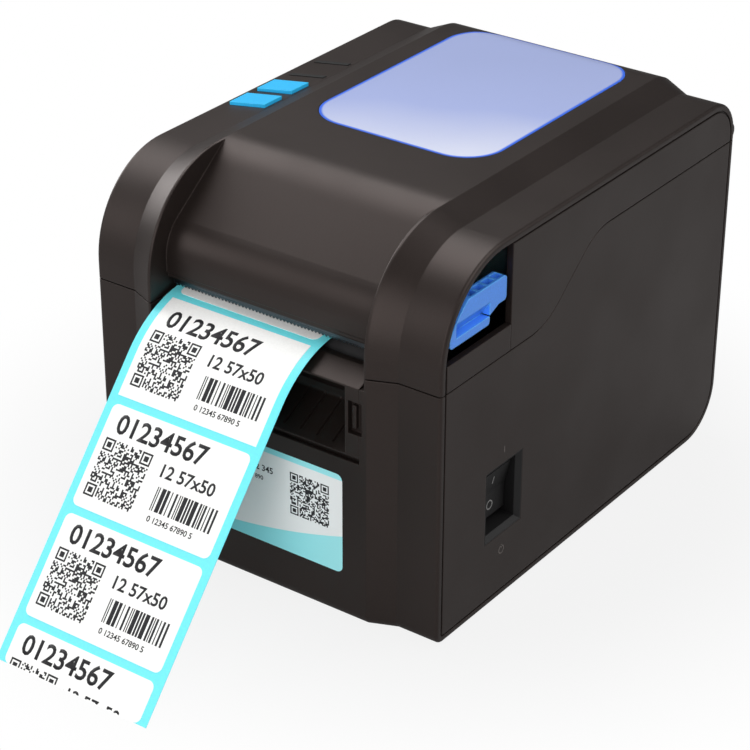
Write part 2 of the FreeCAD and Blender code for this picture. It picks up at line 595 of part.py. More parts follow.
def make_upper_cover():
    """The lid: arms beside the label slot, the leaning middle panel, a hollow inside and the openings."""
    body = new_body("upper_cover")
    casing(body)
    low = "-overshoot"
    high = f"{CROWN_TOP} + overshoot"
    cut(body, "side", f"-{HALF} - fit", f"{HALF} + fit",
        seam_line("seam_gap / 2") + [("depth + overshoot", low), (low, low)])
    cut(body, "side", "-throat_half", "throat_half", [
        ("panel_crease", CROWN_TOP), ("panel_crease", high), (low, high), (low, "panel_lip"),
        ("panel_front", "panel_lip"), ("panel_front", "panel_break", "panel_bend")])
    cut(body, "side", "-throat_half", "throat_half", box(
        "panel_front - fit", "panel_front + lip_step", "panel_lip - fit", "panel_lip + lip_tall"))
    for side in (1, -1):
        cut(body, "side", *on_side(side, "throat_half + wall", INNER), side_profile("wall"))
    inner_break = f"panel_break - wall * {PANEL_RUN} / ({PANEL_SLOPE} + {PANEL_RISE})"
    inner_crease = f"panel_crease + wall * {PANEL_RISE} / ({PANEL_SLOPE} + {PANEL_RUN})"
    cut(body, "side", "-throat_half", "throat_half", [
        ("panel_front + wall", low), ("throat_rear", low), ("throat_rear", f"{CROWN_TOP} - wall"),
        (inner_crease, f"{CROWN_TOP} - wall"), ("panel_front + wall", inner_break, "panel_bend - wall")])
    cut(body, "side", f"-{INNER}", INNER, [
        ("throat_rear", low), ("depth - wall", low),
        ("depth - wall", ROOF, "rear_top_radius - wall"), ("throat_rear", ROOF)])
    cut(body, "side", "wall - crown_half", "crown_half - wall", [
        ("throat_rear", low), (f"{CROWN_BACK} - wall", low),
        (f"{CROWN_BACK} - wall", f"{CROWN_TOP} - wall", "rear_top_radius + crown_rise - wall"),
        ("throat_rear", f"{CROWN_TOP} - wall")])
    cut(body, "side", "-throat_half", "throat_half", box(low, "panel_front + wall + fit", low, "panel_lip"))
    for side in (1, -1):
        cut(body, "side", *on_side(side, f"{INNER} - fit", f"{HALF} + fit"), [
            ("grip_inset", "seam_front - wall"), ("grip_rear", "seam_front - wall"),
            ("grip_rear", "side_height - grip_inset"),
            ("grip_inset", "side_height - grip_inset", "shoulder_radius - grip_inset")])
    cut(body, "top", f"{ROOF} - wall", high,
        box("-window_half", "window_half", "window_front", "window_rear", "window_corner"))
    for front in BUTTONS.values():
        cut(body, "top", f"{ROOF} - wall", high, slanted(front, "button_length", "running"))
    for front in PIPES:
        cut(body, "top", f"{ROOF} - wall", high, slanted(front, "pipe_length", "fit"))
    for back in KEY_POSTS:
        pad(body, "top", "key_board_top", f"{ROOF} + fit", (f"-{KEY_MIDDLE}", back, "key_post_radius"))
    for side in (1, -1):
        pad(body, "top", "bracket_top", f"{CROWN_TOP} - wall + fit",
            (f"{side} * bracket_post", "bracket_post_back", "bracket_post_radius"))
        cut(body, "top", "bracket_top - fit", "bracket_top + screw_length",
            (f"{side} * bracket_post", "bracket_post_back", "screw_radius + fit"))
    cut(body, "side", f"-{INNER}", INNER, ("latch_back", "latch_height", "latch_radius + bearing"))
    for side in (1, -1):
        span = on_side(side, "hinge_inner", "hinge_inner + lid_knuckle")
        seat = "seam_rear + seam_gap / 2"
        pad(body, "side", *span, [
            ("depth - wall", seat), (HINGE_BACK, seat), (HINGE_BACK, "seam_rear + knuckle_radius"),
            ("depth - wall", f"{seat} + hinge_web")])
        pad(body, "side", *span, (HINGE_BACK, "seam_rear", "knuckle_radius"))
        cut(body, "side", *span, (HINGE_BACK, "seam_rear", "hinge_pin_radius + bearing"))


def make_lid_fittings():
    """What is set into the lid: window, indicators, key board, sill strips and tear bar."""
    window = new_body("view_window")
    reach = "window_half - fit"
    pad(window, "side", f"-({reach})", reach, crown_profile("0"))
    cut(window, "side", f"-({reach}) - fit", f"{reach} + fit", [
        ("-overshoot", "-overshoot"), (f"{CROWN_BACK} + overshoot", "-overshoot"),
        (f"{CROWN_BACK} + overshoot", f"{ROOF} - wall"), (f"{CROWN_BACK} - window_thick", f"{ROOF} - wall"),
        (f"{CROWN_BACK} - window_thick", f"{CROWN_TOP} - window_thick",
         "rear_top_radius + crown_rise - window_thick"),
        ("-overshoot", f"{CROWN_TOP} - window_thick")])
    cut(window, "top", "0", f"{CROWN_TOP} + fit",
        box(f"-{HALF}", HALF, "-overshoot", f"{CROWN_BACK} + overshoot"),
        box(f"-({reach})", reach, "window_front + fit", "window_rear - fit", "window_corner - fit"))

    pipes = new_body("indicator_pipes")
    for front in PIPES:
        pad(pipes, "top", "key_board_top + running", "side_height + pipe_proud",
            slanted(front, "pipe_length", "0"))

    board = new_body("key_board")
    pad(board, "top", "key_board_top - board_thick", "key_board_top", box(
        "-button_outer", "-button_inner", "key_board_front", "key_board_rear"))
    for front in BUTTONS.values():
        middle = f"{front} + (button_skew + button_length) / 2"
        pad(board, "top", "key_board_top", "key_board_top + key_switch_tall", box(
            f"-{KEY_MIDDLE} - key_switch / 2", f"-{KEY_MIDDLE} + key_switch / 2",
            f"{middle} - key_switch / 2", f"{middle} + key_switch / 2"))

    for side, name in ((1, "lever_sill_right"), (-1, "lever_sill_left")):
        sill = new_body(name)
        front = "grip_inset + fit"
        rear = "grip_rear - fit"
        pad(sill, "side", *on_side(side, INNER, HALF),
            box(front, rear, "seam_front + seam_gap / 2", "sill_top"))
        pad(sill, "side", *on_side(side, f"{INNER} - sill_flange", INNER),
            box(front, f"{rear} + sill_flange", "seam_front + seam_gap / 2", "sill_top - sill_flange"))

    bar = new_body("tear_bar")
    pad(bar, "side", "-tear_half", "tear_half", box(
        "panel_front + wall", "panel_front + wall + tear_thick", "tear_tip", "tear_top"))
    notch = cut(bar, "front", "panel_front", "panel_front + wall + tear_thick + fit", [
        ("-tear_half - tooth_pitch / 2", "tear_tip - fit"),
        ("-tear_half + tooth_pitch / 2", "tear_tip - fit"), ("-tear_half", "tear_tip + tooth_deep")])
    repeat(bar, notch, "X_Axis", "tooth_pitch", "floor(2 * tear_half / tooth_pitch) + 1")


def make_buttons():
    """The two slanted keys, each with a flange under the roof and a stem over its push switch."""
    for name, front in BUTTONS.items():
        button = new_body(name)
        flange_top = f"{ROOF} - running"
        pad(button, "top", f"{flange_top} - button_flange", "side_height + button_proud",
            slanted(front, "button_length", "0"))
        pad(button, "top", f"{flange_top} - button_flange", flange_top,
            slanted(front, "button_length", "button_flange"))
        pad(button, "top", "key_board_top + key_switch_tall + button_travel + fit",
            f"{flange_top} - button_flange",
            (f"-{KEY_MIDDLE}", f"{front} + (button_skew + button_length) / 2", "button_stem"))


LEVER_OUTER = "(lever_inner + lever_thick)"
LEVER_MIDDLE = "(lever_inner + lever_thick / 2)"
# Centre of the opening's arc from the latch shaft, and the same point turned back by the levers' lift.
ARC_BACK = "(shoulder_radius - latch_back)"
ARC_UP = "(side_height - shoulder_radius - latch_height)"
TURNED_BACK = f"(latch_back + {ARC_BACK} * cos(latch_swing) + {ARC_UP} * sin(latch_swing))"
TURNED_UP = f"(latch_height - {ARC_BACK} * sin(latch_swing) + {ARC_UP} * cos(latch_swing))"


def make_latch():
    """The latch across the lid: a shaft with a hook at each end, and a lever in each side opening."""
    shaft = new_body("latch_shaft")
    reach = "lever_inner + latch_seat"
    axis = ("latch_back", "latch_height")
    pad(shaft, "side", f"-({reach})", reach, (*axis, "latch_radius"))
    shank = "latch_back + latch_radius"
    for side in (1, -1):
        pad(shaft, "side", *on_side(side, "hook_inner", "hook_inner + hook_thick"), [
            (f"{shank} - hook_depth", "hook_tip"), (shank, "hook_tip"),
            (shank, "latch_height + latch_radius"),
            (f"{shank} - hook_shank", "latch_height + latch_radius"),
            (f"{shank} - hook_shank", "hook_tip + nose_tall"),
            (f"{shank} - hook_depth", "hook_tip + nose_tall")])
    for side, name in ((1, "latch_lever_right"), (-1, "latch_lever_left")):
        lever = new_body(name)
        pad(lever, "side", *on_side(side, "lever_inner", LEVER_OUTER), [
            ("lever_front", "lever_low", "lever_round"), ("ledge_rear", "lever_low", "lever_round"),
            ("ledge_rear", "lever_low + ledge_thick"), ("heel_front", "heel_low"),
            ("lever_rear", "heel_low", "lever_round"), ("lever_rear", "lever_top", "lever_round"),
            ("lever_front", "lever_top")])
        cut(lever, "side", *on_side(side, "lever_inner - fit", f"{LEVER_OUTER} + fit"),
            box("-overshoot", "depth", "0", CROWN_TOP),
            (TURNED_BACK, TURNED_UP, "shoulder_radius - grip_inset - lever_clear"))
        skin = f"{side} * ({LEVER_OUTER} + fit)"
        cut(lever, "front", "scoop_front", "ledge_rear", [
            (skin, "scoop_high"), (f"{side} * ({LEVER_OUTER} - scoop_deep)", "scoop_low"),
            (skin, "scoop_low")])
        dimple = cut(lever, "top", "lever_top - dimple_deep", "lever_top + fit", box(
            *on_side(side, f"{LEVER_MIDDLE} - dimple_wide / 2", f"{LEVER_MIDDLE} + dimple_wide / 2"),
            "dimple_first", "dimple_first + dimple_long"))
        repeat(lever, dimple, "Y_Axis", "dimple_pitch", "dimple_count")
        pad(lever, "side", *on_side(side, "lever_inner - latch_seat", "lever_inner + fit"),
            (*axis, "2 * latch_radius"))
        cut(lever, "side", *on_side(side, "lever_inner - latch_seat - fit", reach),
            (*axis, "latch_radius"))


SINK_FINS = 2


def make_print_head():
    """The head that floats over the platen, and the bracket, pin and leaf spring that hold it down."""
    plate = new_body("head_plate")
    pad(plate, "side", "-head_half", "head_half", box(
        "head_front", "head_front + head_deep", HEAD_LOW, SINK_LOW))

    sink = new_body("heat_sink")
    reach = "bracket_half - bracket_thick - running"
    pad(sink, "side", f"-({reach})", reach, box("sink_front", "head_pivot_back", SINK_LOW, SINK_TOP))
    pad(sink, "side", f"-({reach})", reach, ("head_pivot_back", "head_pivot_height", "head_eye"))
    fin_front = "sink_front + fin_pitch / 2"
    for index in range(SINK_FINS):
        pad(sink, "side", f"-({reach})", reach, box(
            f"{fin_front} + {index} * fin_pitch", f"{fin_front} + {index} * fin_pitch + fin_thick",
            SINK_TOP, f"{SINK_TOP} + fin_tall"))
    cut(sink, "side", f"-({reach}) - fit", f"{reach} + fit",
        ("head_pivot_back", "head_pivot_height", "head_pin_radius + bearing"))

    bracket = new_body("head_bracket")
    under = "bracket_top - bracket_thick"
    pad(bracket, "top", under, "bracket_top", box(
        "-bracket_half", "bracket_half", "bracket_front", "bracket_rear"))
    for side in (1, -1):
        span = on_side(side, "bracket_half - bracket_thick", "bracket_half")
        ear = "head_pivot_height - head_eye - fit"
        pad(bracket, "side", *span, [
            ("head_pivot_back - 2 * head_eye", under), ("head_pivot_back - head_eye", ear, "head_eye / 2"),
            ("head_pivot_back + head_eye", ear, "head_eye / 2"), ("head_pivot_back + 2 * head_eye", under)])
        cut(bracket, "side", *span, ("head_pivot_back", "head_pivot_height", "head_pin_radius"))
        cut(bracket, "top", f"{under} - fit", "bracket_top + fit",
            (f"{side} * bracket_post", "bracket_post_back", "screw_radius + fit"))

    pin = new_body("head_pin")
    pad(pin, "side", "-bracket_half", "bracket_half",
        ("head_pivot_back", "head_pivot_height", "head_pin_radius"))

    screws = new_body("bracket_screws")
    for side in (1, -1):
        place_across = f"{side} * bracket_post"
        pad(screws, "top", f"{under} - screw_head_tall", under,
            (place_across, "bracket_post_back", "screw_head"))
        pad(screws, "top", under, f"{under} + screw_length",
            (place_across, "bracket_post_back", "screw_radius"))

    spring = new_body("head_spring")
    touch = f"{SINK_TOP} + fit"
    rear = "head_pivot_back - 2 * head_eye"
    pad(spring, "side", "-spring_half", "spring_half", [
        (rear, under), (rear, f"{under} - spring_thick"), (f"{rear} - fin_pitch", f"{under} - spring_thick"),
        ("spring_touch + fin_thick", touch), ("spring_touch", touch),
        ("spring_touch", f"{touch} + spring_thick"),
        ("spring_touch + fin_thick", f"{touch} + spring_thick"), (f"{rear} - fin_pitch", under)])


SCREW_PLACES = [(side, back) for side in (1, -1) for back in ("block_front", "block_rear")]
MAIN_POSTS = ("main_board_low + main_post_inset", "main_board_high - main_post_inset")


def make_lower_housing():
    """The base shell with its front opening, screw blocks, latch ledges, board posts and hinge knuckles."""
    body = new_body("lower_housing")
    casing(body)
    high = f"{CROWN_TOP} + overshoot"
    cut(body, "side", f"-{HALF} - fit", f"{HALF} + fit",
        seam_line("-seam_gap / 2") + [("depth + overshoot", high), ("-overshoot", high)])
    cut(body, "side", f"-{INNER}", INNER, side_profile("wall"))
    cut(body, "side", "wall - crown_half", "crown_half - wall", crown_profile("wall"))
    cut(body, "top", "-fit", "wall + fit", box("-plate_half", "plate_half", "plate_front", "plate_rear"))
    cut(body, "front", "-crown_rise - fit", "wall + fit", box(
        "-front_half - fit", "front_half + fit", "front_low - fit", high))
    cut(body, "front", "-crown_rise - fit", "wall + fit", box(
        "-throat_half", "throat_half", "front_brow", high))
    for side in (1, -1):
        cut(body, "front", "-crown_rise - fit", "wall + fit", box(
            *on_side(side, "front_half", "front_half + clip_inset"), "clip_low", "clip_low + clip_tall"))
    cut(body, "side", f"{INNER} - fit", f"{HALF} + fit", box(
        "switch_front - fit", "switch_rear + fit", "switch_low - fit", "switch_high + fit"))
    for left, wide, tall in (("usb_left", "usb_wide", "usb_tall"), ("power_left", "power_wide", "usb_tall")):
        cut(body, "front", f"{CROWN_BACK} - 2 * wall", f"{CROWN_BACK} + fit", box(
            f"-{left} - fit", f"{wide} - {left} + fit", "socket_low - fit", f"socket_low + {tall} + fit"))
    for side, front in SCREW_PLACES:
        pad(body, "top", "wall", "block_top", box(
            *on_side(side, "block_inner", f"{INNER} + fit"), front, f"{front} + block_long"))
        cut(body, "top", "wall - fit", "block_top - wall",
            (f"{side} * screw_across", f"{front} + block_long / 2", "screw_radius + fit"))
    for side in (1, -1):
        ledge_top = "hook_tip + nose_tall + running + catch_thick"
        nose = "latch_back + latch_radius - hook_depth - running"
        ledge_low = "hook_tip + nose_tall + running"
        ledge_rear = "latch_back + latch_radius - hook_shank - running"
        pad(body, "side", *on_side(side, "hook_inner - running", "hook_inner + hook_thick + running"), [
            ("wall - fit", ledge_top), ("wall - fit", "hook_tip - nose_tall"), (nose, ledge_low),
            (ledge_rear, ledge_low), (ledge_rear, ledge_top)])
        for up in MAIN_POSTS:
            pad(body, "front", "main_board_front + board_thick", "depth - wall + fit",
                (f"{side} * main_post", up, "main_post_radius"))
        inner = "hinge_inner + lid_knuckle + running"
        span = on_side(side, inner, f"{inner} + base_knuckle")
        seat = "seam_rear - seam_gap / 2"
        pad(body, "side", *span, [
            ("depth - wall", seat), ("depth - wall", f"{seat} - hinge_web"),
            (HINGE_BACK, "seam_rear - knuckle_radius"), (HINGE_BACK, seat)])
        pad(body, "side", *span, (HINGE_BACK, "seam_rear", "knuckle_radius"))
        cut(body, "side", *span, (HINGE_BACK, "seam_rear", "hinge_pin_radius + bearing"))


def make_base_fittings():
    """Bottom plate with its feet and screws, hinge pins, main board and sockets."""
    plate = new_body("bottom_plate")
    pad(plate, "top", "0", "wall", box(
        "fit - plate_half", "plate_half - fit", "plate_front + fit", "plate_rear - fit"))
    stands = [(f"{side} * stand_across", back) for side in (1, -1) for back in ("stand_front", "stand_rear")]
    for across, back in stands:
        pad(plate, "top", "wall", "frame_low", (across, back, "stand_radius"))
    for across in ("stand_radius - tray_half", "tray_half - stand_radius"):
        pad(plate, "top", "wall", "tray_floor - tray_thick",
            (across, "tray_front + tray_bend", "stand_radius"))
    feet = new_body("rubber_feet")
    for across in ("foot_across", "-foot_across"):
        for back in ("foot_front", "foot_rear"):
            pad(feet, "top", "-foot_height", "0", (across, back, "foot_radius"))
    screws = new_body("base_screws")
    for side, front in SCREW_PLACES:
        across, back = f"{side} * screw_across", f"{front} + block_long / 2"
        cut(plate, "top", "-fit", "wall + fit", (across, back, "screw_radius + fit"))
        cut(plate, "top", "-fit", "screw_head_tall", (across, back, "screw_head + fit"))
        pad(screws, "top", "fit", "screw_head_tall", (across, back, "screw_head"))
        pad(screws, "top", "screw_head_tall", "screw_head_tall + screw_length",
            (across, back, "screw_radius"))

    pins = new_body("hinge_pins")
    for side in (1, -1):
        pad(pins, "side", *on_side(side, "hinge_inner", "hinge_inner + lid_knuckle + running + base_knuckle"),
            (HINGE_BACK, "seam_rear", "hinge_pin_radius"))

    board = new_body("main_board")
    pad(board, "front", "main_board_front", "main_board_front + board_thick", box(
        "-main_board_half", "main_board_half", "main_board_low", "main_board_high"))

    behind = "main_board_front + board_thick"
    usb = new_body("data_socket")
    low, high = "socket_low", "socket_low + usb_tall"
    pad(usb, "front", behind, CROWN_BACK, box("-usb_left", "usb_wide - usb_left", low, high))
    cut(usb, "front", f"{CROWN_BACK} - socket_deep", f"{CROWN_BACK} + fit", box(
        "usb_wall - usb_left", "usb_wide - usb_wall - usb_left", f"{low} + usb_wall", f"{high} - usb_wall"))
    pad(usb, "front", f"{CROWN_BACK} - socket_deep", f"{CROWN_BACK} - usb_wall", box(
        "(usb_wide - tongue_wide) / 2 - usb_left", "(usb_wide + tongue_wide) / 2 - usb_left",
        f"{low} + (usb_tall - tongue_tall) / 2", f"{high} - (usb_tall - tongue_tall) / 2"))

    power = new_body("power_socket")
    middle = "power_wide / 2 - power_left"
    pad(power, "front", behind, CROWN_BACK, box("-power_left", "power_wide - power_left", low, high))
    cut(power, "front", f"{CROWN_BACK} - socket_deep", f"{CROWN_BACK} + fit",
        (middle, "socket_low + usb_tall / 2", "power_bore"))
    pad(power, "front", f"{CROWN_BACK} - socket_deep", f"{CROWN_BACK} - usb_wall",
        (middle, "socket_low + usb_tall / 2", "power_pin"))


CHUTE_SLOPE = "((chute_floor - chute_low) / (chute_back + crown_rise + fit))"


def make_front_panel():
    """The clip-on front panel: a sloping brow, the box of a ribbed chute and a clip notch at each side."""
    body = new_body("front_panel")
    face = "-crown_rise"
    bevel = (f"{face} + front_bevel", "front_low")
    top = [("front_waist", "front_rise"), ("front_waist", "front_top"), ("front_back", "front_top"),
           (face, "front_brow"), (face, "chute_low - fit")]
    pad(body, "side", "-front_half", "front_half",
        [bevel, ("wall", "front_low"), ("wall", "front_rise"), *top])
    pad(body, "side", "-chute_half - chute_wall", "chute_half + chute_wall", [
        bevel, ("wall", "front_low"), ("front_deep", "chute_floor - wall"),
        ("front_deep", "front_knee"), *top])
    cut(body, "side", "-chute_half", "chute_half", [
        (f"{face} - fit", "chute_low"), ("chute_back", "chute_floor", "chute_bend"),
        ("chute_back", "chute_rise"), ("chute_roof", "front_brow - wall"), (f"{face} - fit", "chute_high")])
    first = "(1 - rib_count) * rib_pitch / 2 - rib_wide / 2"
    front = f"{face} + rib_start"
    front_floor = f"(chute_low + {CHUTE_SLOPE} * (rib_start + fit))"
    line = cut(body, "side", first, f"{first} + rib_wide", [
        (front, f"{front_floor} - rib_deep"), ("chute_back", "chute_floor - rib_deep"),
        ("chute_back", "chute_floor + rib_deep"), (front, f"{front_floor} + rib_deep")])
    repeat(body, line, "X_Axis", "rib_pitch", "rib_count")
    tab_low = "clip_low + (clip_tall - tab_tall) / 2"
    for side in (1, -1):
        notch = on_side(side, "chute_half + clip_inset", "front_half + fit")
        cut(body, "front", f"{face} - fit", f"{face} + clip_deep",
            box(*notch, "clip_low", "clip_low + clip_tall"))
        pad(body, "front", f"{face} + tab_sunk", f"{face} + clip_deep", box(
            *on_side(side, "chute_half + tab_inset", "chute_half + tab_inset + tab_wide"),
            tab_low, f"{tab_low} + tab_tall"))


SWITCH_MIDDLE = "((switch_low + switch_high) / 2)"


def make_power_switch():
    """The recessed power switch: a bevelled well in the right side and the rocker on its axle."""
    body = new_body("switch_well")
    pad(body, "side", "switch_back", HALF, box("switch_front", "switch_rear", "switch_low", "switch_high"))
    inner = box("switch_front + switch_border", "switch_rear - switch_border",
                "switch_low + switch_border", "switch_high - switch_border")
    cut(body, "side", "switch_floor", f"{HALF} + fit", inner)
    rim = box("switch_front + fit", "switch_rear - fit", "switch_low + fit", "switch_high - fit")
    loft(body, "SubtractiveLoft", "side", (f"{HALF} + fit", rim), (f"{HALF} - switch_border", inner))
    cut(body, "front", "switch_front + fit", "switch_rear - fit",
        ("rocker_pivot", SWITCH_MIDDLE, "axle_radius + bearing"))

    rocker = new_body("power_rocker")
    front = "switch_front + switch_border + running"
    rear = "switch_rear - switch_border - running"
    low = f"{SWITCH_MIDDLE} - rocker_reach"
    high = f"{SWITCH_MIDDLE} + rocker_reach"
    pad(rocker, "front", front, rear, [
        ("rocker_face", low), ("rocker_face", SWITCH_MIDDLE),
        ("rocker_face + rocker_reach * tan(rocker_angle)", high),
        ("rocker_pivot + axle_radius", high), ("rocker_pivot - rocker_deep", SWITCH_MIDDLE),
        ("rocker_pivot + axle_radius", low)])
    pad(rocker, "front", f"{front} - switch_border", f"{rear} + switch_border",
        ("rocker_pivot", SWITCH_MIDDLE, "axle_radius"))


def gear(name, teeth, back, height, turn):
    """A spur gear beside the frame's left cheek, centred on its body's own axis."""
    body = new_body(name, back, height, turn)
    span = on_side(-1, GEAR_INNER, GEAR_OUTER)
    pitch = f"(tooth_module * {teeth} / 2)"
    root = f"({pitch} - dedendum * tooth_module)"
    tip = f"({pitch} + addendum * tooth_module)"
    middle = "(pi * tooth_module / 4 - backlash / 2)"
    low = f"({middle} + dedendum * tooth_module * tan(root_flank))"
    high = f"({middle} - addendum * tooth_module * tan(tip_flank))"
    pad(body, "side", *span, ("0", "0", root))
    flank = [(f"{root} - tooth_module", low), (root, low), (pitch, middle), (tip, high)]
    tooth = pad(body, "side", *span,
                [(along, f"-{beside}") for along, beside in flank] + flank[::-1])
    ring = body.newObject("PartDesign::PolarPattern", "Ring")
    ring.Originals = [tooth]
    ring.Axis = ([o for o in body.Origin.OriginFeatures if o.Role == "X_Axis"][0], [""])
    tie(ring, "Occurrences", teeth)
    body.Tip = ring
    doc.recompute()
    return body


PLATEN_TURN = "-idler_angle"
IDLER_TURN = "(180 - idler_angle + 180 / idler_teeth)"
PINION_TURN = ("(180 - pinion_angle + 180 / pinion_teeth"
               f" - ({IDLER_TURN} + pinion_angle) * idler_teeth / pinion_teeth)")
CHEEK = "(frame_half - frame_thick)"


def make_feed():
    """The feed: a folded frame, the platen in its bushes and the gear train from the motor."""
    frame = new_body("feed_frame")
    pad(frame, "front", "frame_front", "frame_rear", [
        ("-frame_half", "frame_low"), ("frame_half", "frame_low"), ("frame_half", "frame_top"),
        (CHEEK, "frame_top"), (CHEEK, "frame_low + frame_thick"),
        (f"-{CHEEK}", "frame_low + frame_thick"), (f"-{CHEEK}", "frame_top"), ("-frame_half", "frame_top")])
    cut(frame, "side", f"-{HALF}", HALF, ("platen_back", PLATEN_HEIGHT, "bush_radius"))
    cut(frame, "side", f"-{HALF}", HALF, box(
        "frame_front + cheek_border", "frame_rear - cheek_border",
        "frame_low + cheek_border", "frame_low + cheek_border + cheek_window", "cheek_corner"))
    left_cheek = on_side(-1, f"{CHEEK} - fit", "frame_half + fit")
    cut(frame, "side", *left_cheek, (PINION_BACK, PINION_HEIGHT, "motor_boss + fit"))
    cut(frame, "side", *left_cheek, (IDLER_BACK, IDLER_HEIGHT, "idler_pin"))

    bushes = new_body("platen_bushes")
    bore = ("platen_back", PLATEN_HEIGHT, "shaft_radius + bearing")
    for side in (1, -1):
        pad(bushes, "side", *on_side(side, CHEEK, "frame_half"),
            ("platen_back", PLATEN_HEIGHT, "bush_radius"), bore)
        pad(bushes, "side", *on_side(side, "frame_half", "frame_half + bush_flange_thick"),
            ("platen_back", PLATEN_HEIGHT, "bush_flange"), bore)

    shaft = new_body("platen_shaft")
    pad(shaft, "side", f"-{GEAR_OUTER} - running", "frame_half + 2 * bush_flange_thick",
        ("platen_back", PLATEN_HEIGHT, "shaft_radius"))
    rubber = new_body("platen_roller")
    pad(rubber, "side", "-platen_half", "platen_half",
        ("platen_back", PLATEN_HEIGHT, "platen_radius"), ("platen_back", PLATEN_HEIGHT, "shaft_radius"))

    wheel = gear("platen_gear", "platen_teeth", "platen_back", PLATEN_HEIGHT, PLATEN_TURN)
    cut(wheel, "side", f"-{HALF}", "0", ("0", "0", "shaft_radius"))
    idler = gear("idler_gear", "idler_teeth", IDLER_BACK, IDLER_HEIGHT, IDLER_TURN)
    cut(idler, "side", f"-{HALF}", "0", ("0", "0", "idler_pin + bearing"))
    pinion = gear("motor_pinion", "pinion_teeth", PINION_BACK, PINION_HEIGHT, PINION_TURN)
    pad(pinion, "side", *on_side(-1, f"{CHEEK} - motor_long / 2", GEAR_OUTER), ("0", "0", "motor_shaft"))

    post = new_body("idler_post")
    centre = (IDLER_BACK, IDLER_HEIGHT)
    clip_end = f"{GEAR_OUTER} + running + post_clip"
    pad(post, "side", *on_side(-1, CHEEK, clip_end), (*centre, "idler_pin"))
    pad(post, "side", *on_side(-1, "frame_half", f"{GEAR_INNER} - running"),
        (*centre, "idler_pin + post_clip"))
    pad(post, "side", *on_side(-1, f"{GEAR_OUTER} + running", clip_end), (*centre, "idler_pin + post_clip"))

    motor = new_body("feed_motor")
    pad(motor, "side", *on_side(-1, f"{CHEEK} - motor_long", CHEEK), box(
        f"{PINION_BACK} - motor_size / 2", f"{PINION_BACK} + motor_size / 2",
        f"{PINION_HEIGHT} - motor_size / 2", f"{PINION_HEIGHT} + motor_size / 2", "motor_corner"))
    pad(motor, "side", *on_side(-1, CHEEK, "frame_half"), (PINION_BACK, PINION_HEIGHT, "motor_boss"))
    cut(motor, "side", *on_side(-1, f"{CHEEK} - motor_long / 2 - fit", "frame_half + fit"),
        (PINION_BACK, PINION_HEIGHT, "motor_shaft + bearing"))

    guide = new_body("paper_guide")
    under = "guide_top - guide_thick"
    low = "guide_top - guide_drop"
    pad(guide, "side", f"-{CHEEK}", CHEEK, [
        ("guide_front", low), ("guide_front + guide_thick", low), ("guide_front + guide_thick", under),
        ("guide_rear - guide_thick", under), ("guide_rear - guide_thick", low), ("guide_rear", low),
        ("guide_rear", "guide_top"), ("guide_front", "guide_top")])
    sensor = new_body("gap_sensor")
    pad(sensor, "top", f"{under} - sensor_size", under, box(
        "-sensor_left - sensor_size", "-sensor_left", "sensor_back", "sensor_back + sensor_size"))


LEFT_HOLDER = "(-web_left - running)"
RIGHT_HOLDER = f"({WEB_RIGHT} + running)"


def make_label_bay():
    """The label bay: a rounded tray, the holders on their rail and the roll on its core."""
    tray = new_body("label_tray")
    pad(tray, "side", "-tray_half", "tray_half", [
        ("tray_front", "tray_top"), ("tray_front", "tray_floor - tray_thick", "tray_bend + tray_thick"),
        ("tray_rear", "tray_floor - tray_thick", "tray_bend + tray_thick"), ("tray_rear", "tray_top"),
        ("tray_rear - tray_thick", "tray_top"), ("tray_rear - tray_thick", "tray_floor", "tray_bend"),
        ("tray_front + tray_thick", "tray_floor", "tray_bend"), ("tray_front + tray_thick", "tray_top")])
    for side in (1, -1):
        pad(tray, "side", *on_side(side, "tray_half - tray_thick", "tray_half"),
            box("tray_front", "tray_rear", "tray_floor - tray_thick", "tray_top"))

    rail = new_body("holder_rail")
    pad(rail, "side", "-rail_end", "rail_end",
        box("roll_back - rail_half", "roll_back + rail_half", "tray_floor", "tray_floor + rail_tall"))

    for name, face, out in (("roll_holder_left", LEFT_HOLDER, -1), ("roll_holder_right", RIGHT_HOLDER, 1)):
        holder = new_body(name)
        outside = f"{face} + {out} * holder_thick"
        foot = f"{face} + {out} * foot_long"
        hub = f"{face} - {out} * hub_long"
        spans = [sorted((face, x), key=number) for x in (outside, foot, hub)]
        low = "tray_floor + fit"
        pad(holder, "side", *spans[0], [
            ("roll_back - holder_half", low), ("roll_back + holder_half", low),
            ("roll_back + holder_head", "roll_height"), ("roll_back - holder_head", "roll_height")])
        pad(holder, "side", *spans[0], ("roll_back", "roll_height", "holder_head"))
        pad(holder, "side", *spans[1], box(
            "roll_back - holder_half", "roll_back + holder_half", low, f"{low} + foot_tall"))
        pad(holder, "side", *spans[2], ("roll_back", "roll_height", "core_bore - running"))
        cut(holder, "side", f"-{HALF}", HALF, box(
            "roll_back - rail_half - fit", "roll_back + rail_half + fit",
            "tray_floor", "tray_floor + rail_tall + fit"))

    core = new_body("roll_core")
    pad(core, "side", "-web_left", WEB_RIGHT, ("roll_back", "roll_height", "core_bore + core_wall"),
        ("roll_back", "roll_height", "core_bore"))
    roll = new_body("label_roll")
    pad(roll, "side", "-web_left", WEB_RIGHT, ("roll_back", "roll_height", ROLL_RADIUS),
        ("roll_back", "roll_height", "core_bore + core_wall"))


LABELS_DOWN = 3


